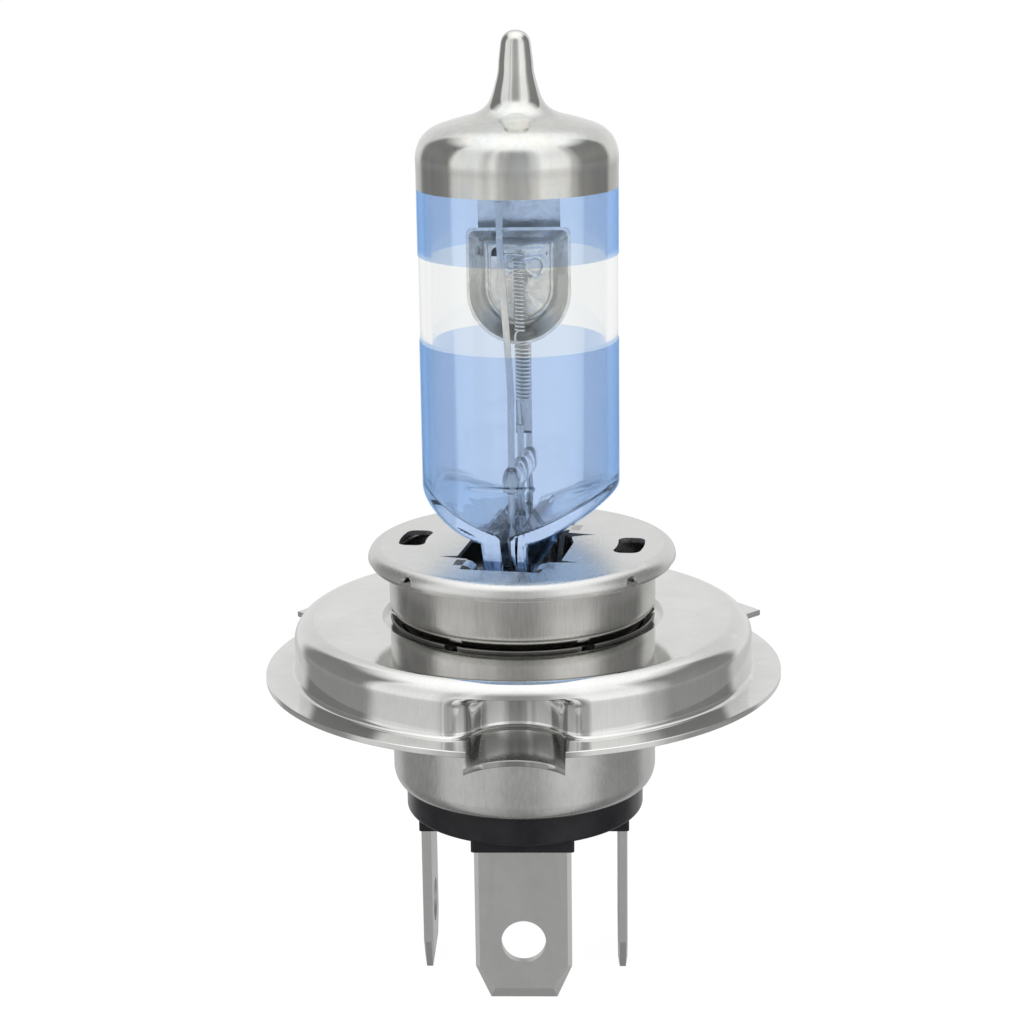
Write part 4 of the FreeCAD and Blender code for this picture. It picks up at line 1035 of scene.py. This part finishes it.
# ---- burner
def lead_place(step):
    """Where a lead stands along the turned pinch: step is -1, 0 or 1."""
    spot = PINCH_TURN @ Vector((0, LEAD_SPACING * step, 0))
    return spot.x, spot.y


def wires(material):
    """The three lead-in wires: two straight, and the front one bent up past the cup."""
    foil_top, crest = top("pinch_foils"), top("low_beam_lead")
    low_bend, high_bend = foil_top + 15.2, crest - 4.2
    lean_x, lean_y = -0.75, 1.3
    x, y = lead_place(-1)
    front_path = smooth_path([
        (x, y, foil_top),
        (x, y, foil_top + 8),
        (x, y, low_bend),
        (x - 0.04, y + 0.1, low_bend + 2.8),
        (x - 0.7, y + 1.22, high_bend),
        (x + lean_x, y + lean_y, high_bend + 1.8),
        (x + lean_x, y + lean_y, crest),
    ])
    shapes = {
        "low_beam_lead": tube(front_path, LEAD_RADIUS),
        "high_beam_lead": tube([(0, 0, foil_top), (0, 0, top("high_beam_lead"))], LEAD_RADIUS),
        "common_lead": tube(
            [(*lead_place(1), foil_top), (*lead_place(1), top("common_lead"))], LEAD_RADIUS
        ),
    }
    for node, shape in shapes.items():
        made = new_object(node.replace("lead", "wire"), shape)
        finish_piece(made, [node], material)


LOW_COIL = {"x": 0.05, "y": -0.1, "radius": 0.38, "turns": 19, "low": 28.4, "high": 34.3}
HIGH_COIL = {"x": 0.25, "y": -0.2, "radius": 0.56, "turns": 14, "low": 22.7, "high": 27.2}
LOW_COIL_WIRE, HIGH_COIL_WIRE = 0.095, 0.11


def helix(shape, per_turn=28):
    """The points of a coil, from its lower end up."""
    count = int(shape["turns"] * per_turn)
    points = []
    for step in range(count + 1):
        angle = 2 * math.pi * step / per_turn
        points.append(Vector((
            shape["x"] + shape["radius"] * math.sin(angle),
            shape["y"] + shape["radius"] * math.cos(angle),
            shape["low"] + (shape["high"] - shape["low"]) * step / count,
        )))
    return points


def coil(name, node, shape, wire, before, after, material):
    """A coiled filament with its two legs, each given by the points that it runs through."""
    turns = helix(shape)
    path = smooth_path(before + [turns[0]])[:-1]
    path += turns + smooth_path([turns[-1]] + after)[1:]
    made = new_object(name, tube(path, wire, 10))
    return finish_piece(made, [node], material)


def filaments(material):
    """Both coils. A leg is a run of points between its coil's end and what it is welded to."""
    x, y = lead_place(-1)
    low, high = LOW_COIL["low"], LOW_COIL["high"]
    before = [(-0.3, 0.4, low - 0.9), (-0.35, 0.34, low - 0.6), (-0.25, 0.3, low - 0.2)]
    after = [
        (0.35, 0.2, high + 0.12),
        (0.43, -0.12, high + 0.25),
        (0.15, -0.45, high + 0.38),
        (-0.4, -1.1, high + 0.55),
        (x - 0.45, y + 1.53, high + 0.7),
    ]
    coil("low_coil", "low_beam_filament", LOW_COIL, LOW_COIL_WIRE, before, after, material)
    low, high = HIGH_COIL["low"], HIGH_COIL["high"]
    lead_top = top("high_beam_lead")
    before = [
        (0, 0, lead_top + 0.05),
        (-0.05, 0.05, lead_top + 0.7),
        (-0.1, 0.15, lead_top + 1.3),
        (-0.1, 0.28, low - 0.25),
    ]
    after = [(0.5, 0.40, high + 0.06), (0.66, 0.62, high + 0.1), (0.7, 0.99, high)]
    coil("high_coil", "high_beam_filament", HIGH_COIL, HIGH_COIL_WIRE, before, after, material)


CUP_HALF, CUP_TOP, CUP_STRAIGHT_END, CUP_POINT = 4.25, 36.8, 31.6, 27.2
CUP_PLANE, CUP_DEPTH, CUP_SHEET, CUP_TAPER = 0.5, 2.7, 0.25, 26.0
CUP_CORNER, CUP_ROUNDING, CUP_FLARE = 0.5, 0.9, 0.15
TAB_HALF = 3.4
# round ridges pressed into the cup's floor: the x and z of each centre, and its radius
EMBOSS_HEIGHT, EMBOSS_WIDTH = 0.1, 0.16
CUP_DIMPLES = [
    (-0.75, 35.0, 0.5), (1.35, 35.0, 0.5), (-0.75, 33.4, 0.5), (1.3, 33.3, 0.75),
]


def cup_ring(inset, depth, emboss=0.0):
    """The cup's outline at a depth behind its mouth: straight sides that run into a bow."""
    half = CUP_HALF - inset
    end, point = CUP_STRAIGHT_END, CUP_POINT + inset
    rise = end - point
    bow = (half**2 + rise**2) / (half * 2)
    corner = min(CUP_CORNER, half * 0.6)
    high = CUP_TOP - inset
    sweep = math.degrees(math.asin(min(1.0, rise / bow)))
    left = arc((bow - half, end), bow, 180, 180 + sweep, 24)
    right = arc((half - bow, end), bow, -sweep, 0, 24)
    crown = arc((half - corner, high - corner), corner, 0, 90, 8)
    crown += arc((corner - half, high - corner), corner, 90, 180, 8)
    straight = high - corner - end
    rise_side = [(half, end + straight * step / 10) for step in range(10)]
    fall_side = [(-half, high - corner - straight * step / 10) for step in range(10)]
    outline = left + right + rise_side + crown + fall_side
    ring = []
    for x, z in outline:
        lift = 0.0
        for cx, cz, radius in CUP_DIMPLES:
            off = math.hypot(x - cx, z - cz)
            lift += emboss * math.exp(-(((off - radius) / EMBOSS_WIDTH) ** 2))
        ring.append((x, CUP_PLANE + depth - lift, z))
    return ring


def cup_side(sheet):
    """One face of the cup's sheet, from its mouth over the rounding to the middle of its floor."""
    slope = math.tan(math.radians(CUP_TAPER))
    edge, turn = CUP_DEPTH - CUP_ROUNDING, CUP_ROUNDING - sheet
    rings = [cup_ring(depth * slope + sheet, depth) for depth in (0.0, 0.4, 0.8, 1.2, edge)]
    for step in range(1, 9):
        angle = math.radians(90 * step / 8)
        inset = edge * slope + sheet + turn * (1 - math.cos(angle)) + CUP_FLARE * math.sin(angle)
        rings.append(cup_ring(inset, edge + turn * math.sin(angle)))
    floor_inset, floor_step = edge * slope + CUP_ROUNDING + CUP_FLARE, 0.12
    for step in range(1, 15):
        rings.append(cup_ring(floor_inset + step * floor_step, CUP_DEPTH - sheet, EMBOSS_HEIGHT))
    return rings


def shield(material):
    """The spoon-shaped cup with its mouth to the front, and the tab that hangs it."""
    made = new_object("beam_cup", skin(cup_side(0.0)[::-1] + cup_side(CUP_SHEET)))
    depth = CUP_PLANE + CUP_DEPTH
    low, high = CUP_TOP - CUP_DEPTH, top("low_beam_shield")
    tab = rounded([
        (-TAB_HALF, low, 0.3),
        (TAB_HALF, low, 0.3),
        (TAB_HALF, high, 0.5),
        (-TAB_HALF, high, 0.5),
    ])
    rings = [[(x, y, z) for x, z in tab] for y in (depth - CUP_SHEET, depth)]
    add_shape(made, skin(rings))
    return finish_piece(made, ["low_beam_shield"], material)


def support_strip(material):
    """The flat strip behind the lower coil, with a foot bent back to the rear lead."""
    low_corner, high_corner = span("shield_support_strip")
    front, rear = low_corner.y, high_corner.y
    low, high = low_corner.z, high_corner.z
    sheet, edge = 0.2, 0.04
    profile = rounded([
        (front, low, 0.3),
        (rear, low, edge),
        (rear, low + sheet, edge),
        (front + sheet, low + sheet, 0.1),
        (front + sheet, high, edge),
        (front, high, edge),
    ], 4)
    rings = [[(x, y, z) for y, z in profile] for x in (low_corner.x, high_corner.x)]
    made = new_object("support_strip", skin(rings))
    return finish_piece(made, ["shield_support_strip"], material)


def lead_bridge(material):
    """The bar of quartz melted over the three leads: a soft oval with bulges at the wires."""
    low, high = bottom("lead_bridge"), top("lead_bridge")
    middle, half_height, half_depth, half_length = (low + high) / 2, (high - low) / 2, 0.7, 4.6
    end_rounding, bulge_height, bulge_width = 0.9, 0.14, 0.6
    # between the bulges the oval is thinner by the waist, and it is a little flattened all along
    waist, flatten = 0.08, 0.94
    steps, columns = 60, 48
    rings = []
    for step in range(1, steps):
        along = -math.cos(math.pi * step / steps) * half_length
        close = min(1.0, (half_length - abs(along)) / end_rounding)
        end = math.sqrt(max(1 - (1 - close) ** 2, 0.0))
        nearest = min(abs(along - place * LEAD_SPACING) for place in (-1, 0, 1))
        bulge = 1 + bulge_height * math.exp(-((nearest / bulge_width) ** 2)) - waist
        ring = []
        for column in range(columns):
            angle = 2 * math.pi * column / columns
            x = half_depth * end * bulge * math.cos(angle)
            z = middle + half_height * end * bulge * math.sin(angle) * flatten
            ring.append(PINCH_TURN @ Vector((x, along, z)))
        rings.append(ring)
    made = new_object("bridge_bar", skin(rings))
    return finish_piece(made, ["lead_bridge"], material)


# ---- stage
def studio_light():
    """What a shiny surface sees: soft boxes in front, dark flags at the sides, a light sweep
    behind. The direction is in the part's frame and the camera stands towards -Y."""
    tree = bpy.data.node_groups.new("studio", "ShaderNodeTree")
    tree.interface.new_socket("Direction", in_out="INPUT", socket_type="NodeSocketVector")
    tree.interface.new_socket("Light", in_out="OUTPUT", socket_type="NodeSocketColor")
    s = Shader(tree)
    direction = tree.nodes.new("NodeGroupInput").outputs[0]
    separate = s.add("SeparateXYZ", direction).node
    x, y, z = separate.outputs
    azimuth = s.math("ARCTAN2", x, s.math("MULTIPLY", y, -1.0))
    around = s.math("ADD", s.math("DIVIDE", azimuth, 2 * math.pi), 0.5)
    height = s.math("ARCSINE", z)
    up = s.math("ADD", s.math("DIVIDE", height, math.pi), 0.5)
    # brightness by azimuth, in degrees to the right of the camera, then by height above level
    sides = [
        (-180, 0.72), (-142, 0.72), (-130, 0.22), (-84, 0.22), (-74, 0.85), (-44, 0.85),
        (-34, 0.62), (-26, 0.85), (-18, 0.5), (-6, 0.4), (12, 0.44), (22, 0.7),
        (32, 1.0), (58, 0.95), (70, 0.5), (80, 0.25), (122, 0.22), (132, 0.72), (180, 0.72),
    ]
    levels = [
        (-90, 0.25), (-40, 0.45), (-14, 0.64), (-3, 0.82),
        (12, 0.80), (30, 0.74), (50, 0.85), (90, 1.0),
    ]
    gain = 1.45
    side_light = s.ramp(around, [((a + 180) / 360, v) for a, v in sides], "EASE")
    lifted = s.ramp(up, [(0.44, 0.3), (0.5, 0.0)])
    side_light = s.mix(lifted, side_light, (0.6, 0.6, 0.6, 1.0))
    level_light = s.ramp(up, [((a + 90) / 180, v) for a, v in levels], "EASE")
    overhead = s.ramp(up, [(0.72, 0.0), (0.82, 1.0)])
    around_light = s.mix(overhead, side_light, (1.0, 1.0, 1.0, 1.0))
    light = s.add("VectorMath", around_light, level_light, operation="MULTIPLY")
    light = s.add("VectorMath", light, operation="SCALE", Scale=gain)
    tree.links.new(light, tree.nodes.new("NodeGroupOutput").inputs[0])
    return tree


def studio_node(s, tree, direction):
    node = s.tree.nodes.new("ShaderNodeGroup")
    node.node_tree = tree
    s.tree.links.new(direction, node.inputs[0])
    return node.outputs[0]


def mirrored_ray(s):
    """1 for a ray that a shiny surface sent back, and 0 for one that passed through glass."""
    path = s.add("LightPath").node
    return s.math("MULTIPLY", path.outputs["Is Glossy Ray"], path.outputs["Is Reflection Ray"])


def world_light(tree):
    world = bpy.data.worlds.new("studio")
    bpy.context.scene.world = world
    world.use_nodes = True
    world.node_tree.nodes.clear()
    s = Shader(world.node_tree)
    direction = s.add("TexCoord", out=0)
    shiny = s.add("Background", studio_node(s, tree, direction), 1.0)
    plain = s.add("Background", (1.0, 1.0, 1.0, 1.0), 1.0)
    mixed = s.mix_shader(mirrored_ray(s), plain, shiny)
    output = world.node_tree.nodes.new("ShaderNodeOutputWorld")
    world.node_tree.links.new(mixed, output.inputs[0])


def floor(tree):
    """A plain pale floor. Shiny surfaces see the same studio in it as above it."""
    glow, matt_tone = 0.98, 0.03
    material, s = new_material("pale_floor")
    white = s.add("Emission", (1.0, 1.0, 1.0, 1.0), glow)
    matt = s.add("BsdfDiffuse", grey(matt_tone))
    pale = s.add("AddShader", white, matt)
    incoming = s.add("NewGeometry", out=4)
    direction = s.add("VectorMath", incoming, operation="SCALE", Scale=-1.0)
    seen = s.add("Emission", studio_node(s, tree, direction), 1.0)
    surface(s, s.mix_shader(mirrored_ray(s), pale, seen))
    half, level = 4000.0, cad_low.z / MM
    corners = [(-half, -half, level), (half, -half, level), (half, half, level), (-half, half, level)]
    made = new_object("floor", (corners, [(0, 1, 2, 3)]), outward=False)
    made.data.materials.append(material)


def soft_box(name, place, size, energy):
    """A soft light that faces the part. Its place and size are in metres, its energy in watts."""
    light = bpy.data.lights.new(name, "AREA")
    light.shape = "RECTANGLE"
    light.size, light.size_y = size
    light.energy = energy
    made = bpy.data.objects.new(name, light)
    made.location = Vector(place)
    target = (cad_low + cad_high) / 2
    made.rotation_mode = "QUATERNION"
    made.rotation_quaternion = (target - made.location).to_track_quat("-Z", "Y")
    made.visible_glossy = False
    made.visible_transmission = False
    made.visible_camera = False
    bpy.context.scene.collection.objects.link(made)


def camera():
    """The viewing angle: a long lens above the glass, tilted down. Its angles are in radians."""
    distance, height, lens = 195.9, 65.67, 86.39
    azimuth = math.radians(1.85)
    yaw, pitch, roll = azimuth + 0.004, 0.262, -0.014
    made = bpy.data.objects.new("camera", bpy.data.cameras.new("camera"))
    made.data.sensor_width = 36.0
    made.data.lens = lens
    made.data.clip_start, made.data.clip_end = 0.01, 50.0
    place = Vector((distance * math.sin(azimuth), -distance * math.cos(azimuth), height)) * MM
    turn = (
        Matrix.Rotation(yaw, 4, "Z")
        @ Matrix.Rotation(math.radians(90) - pitch, 4, "X")
        @ Matrix.Rotation(roll, 4, "Z")
    )
    made.matrix_world = Matrix.Translation(place) @ turn
    bpy.context.scene.collection.objects.link(made)
    bpy.context.scene.camera = made


def stage():
    tree = studio_light()
    world_light(tree)
    floor(tree)
    soft_box("key", place=(-0.35, -0.45, 0.45), size=(0.3, 0.4), energy=4.0)
    soft_box("fill", place=(0.45, -0.35, 0.3), size=(0.3, 0.4), energy=2.5)
    camera()
    scene = bpy.context.scene
    scene.view_settings.view_transform = "Standard"
    scene.cycles.max_bounces = 24
    scene.cycles.transmission_bounces = 24
    scene.cycles.transparent_max_bounces = 32
    scene.cycles.glossy_bounces = 8


# ---- build
def build():
    neutral, warm = (1.0, 1.005, 0.985), (1.0, 0.985, 0.95)
    sheet = metal("satin_sheet", 0.70, neutral, roughness=0.30, grain=(5.0, 1.2, 5.0),
                  grain_depth=0.004, blotch=0.02, wear=0.3)
    drawn = metal("drawn_steel", 0.55, warm, roughness=0.20, grain=(5.0, 5.0, 0.35),
                  grain_depth=0.005, blotch=0.07, aniso=0.3, wear=0.2)
    bright = metal("barrel_steel", 0.70, neutral, roughness=0.22, grain=(4.0, 4.0, 1.2),
                   grain_depth=0.008, blotch=0.06, aniso=0.4, wear=0.4)
    # the flange's sheet gets painted shade over its front alcove and front lug
    flange = metal("flange_steel", 0.74, neutral, roughness=0.07, grain=(7.0, 7.0, 0.6),
                   grain_depth=0.003, blotch=0.04, wear=0.3, painted_alcove_shade=((0.0, -20.6, -0.5), 5.2))
    tinned = metal("tinned_blade", 0.54, neutral, roughness=0.36, grain=(7.0, 7.0, 7.0),
                   grain_depth=0.004, blotch=0.03, wear=0.8)
    spring = metal("spring_steel", 0.22, warm, roughness=0.35, grain=(5.0, 5.0, 0.35),
                   grain_depth=0.005, blotch=0.07)
    wire = metal("molybdenum_wire", 0.55, neutral, roughness=0.22, grain=(9.0, 9.0, 1.0),
                 grain_depth=0.004)
    cup = metal("molybdenum_sheet", 0.62, neutral, roughness=0.12, grain=(1.2, 1.2, 1.2),
                grain_depth=0.06, blotch=0.12)
    filament = metal("tungsten_wire", 0.62, neutral, roughness=0.16, grain=(20.0, 20.0, 20.0),
                     grain_depth=0.004)
    nickel = metal("nickel_wire", 0.55, warm, roughness=0.3, grain=(9.0, 9.0, 2.0),
                   grain_depth=0.004)
    quartz_clear = quartz("quartz", (0.94, 0.95, 0.948))
    blue = blue_filter("blue_coat")

    mounting_flange(flange)
    base_shell(bright)
    collar(drawn)
    finger_ring(spring)
    cap_plate(sheet)
    insulator(black_moulding("black_moulding"))
    for node in BLADE_TURNS:
        blade(node, tinned)
    glass_envelope(quartz_clear)
    coat("mirror_coat", "mirror_cap_coating", bottom("mirror_cap_coating"), PAST_TIP,
         silver_coat("silver_coat"))
    for side in ("upper", "lower"):
        node = f"{side}_blue_coating"
        coat(f"{side}_blue_coat", node, bottom(node), top(node), blue)
    wires(wire)
    filaments(filament)
    shield(cup)
    support_strip(wire)
    lead_bridge(quartz_clear)
    kept = {"pinch_foils": wire}
    kept.update({f"{side}_outer_lead": nickel for side in ("front", "left", "right")})
    for node, material in kept.items():
        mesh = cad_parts[node].data
        mesh.materials.clear()
        mesh.materials.append(material)


build()
stage()
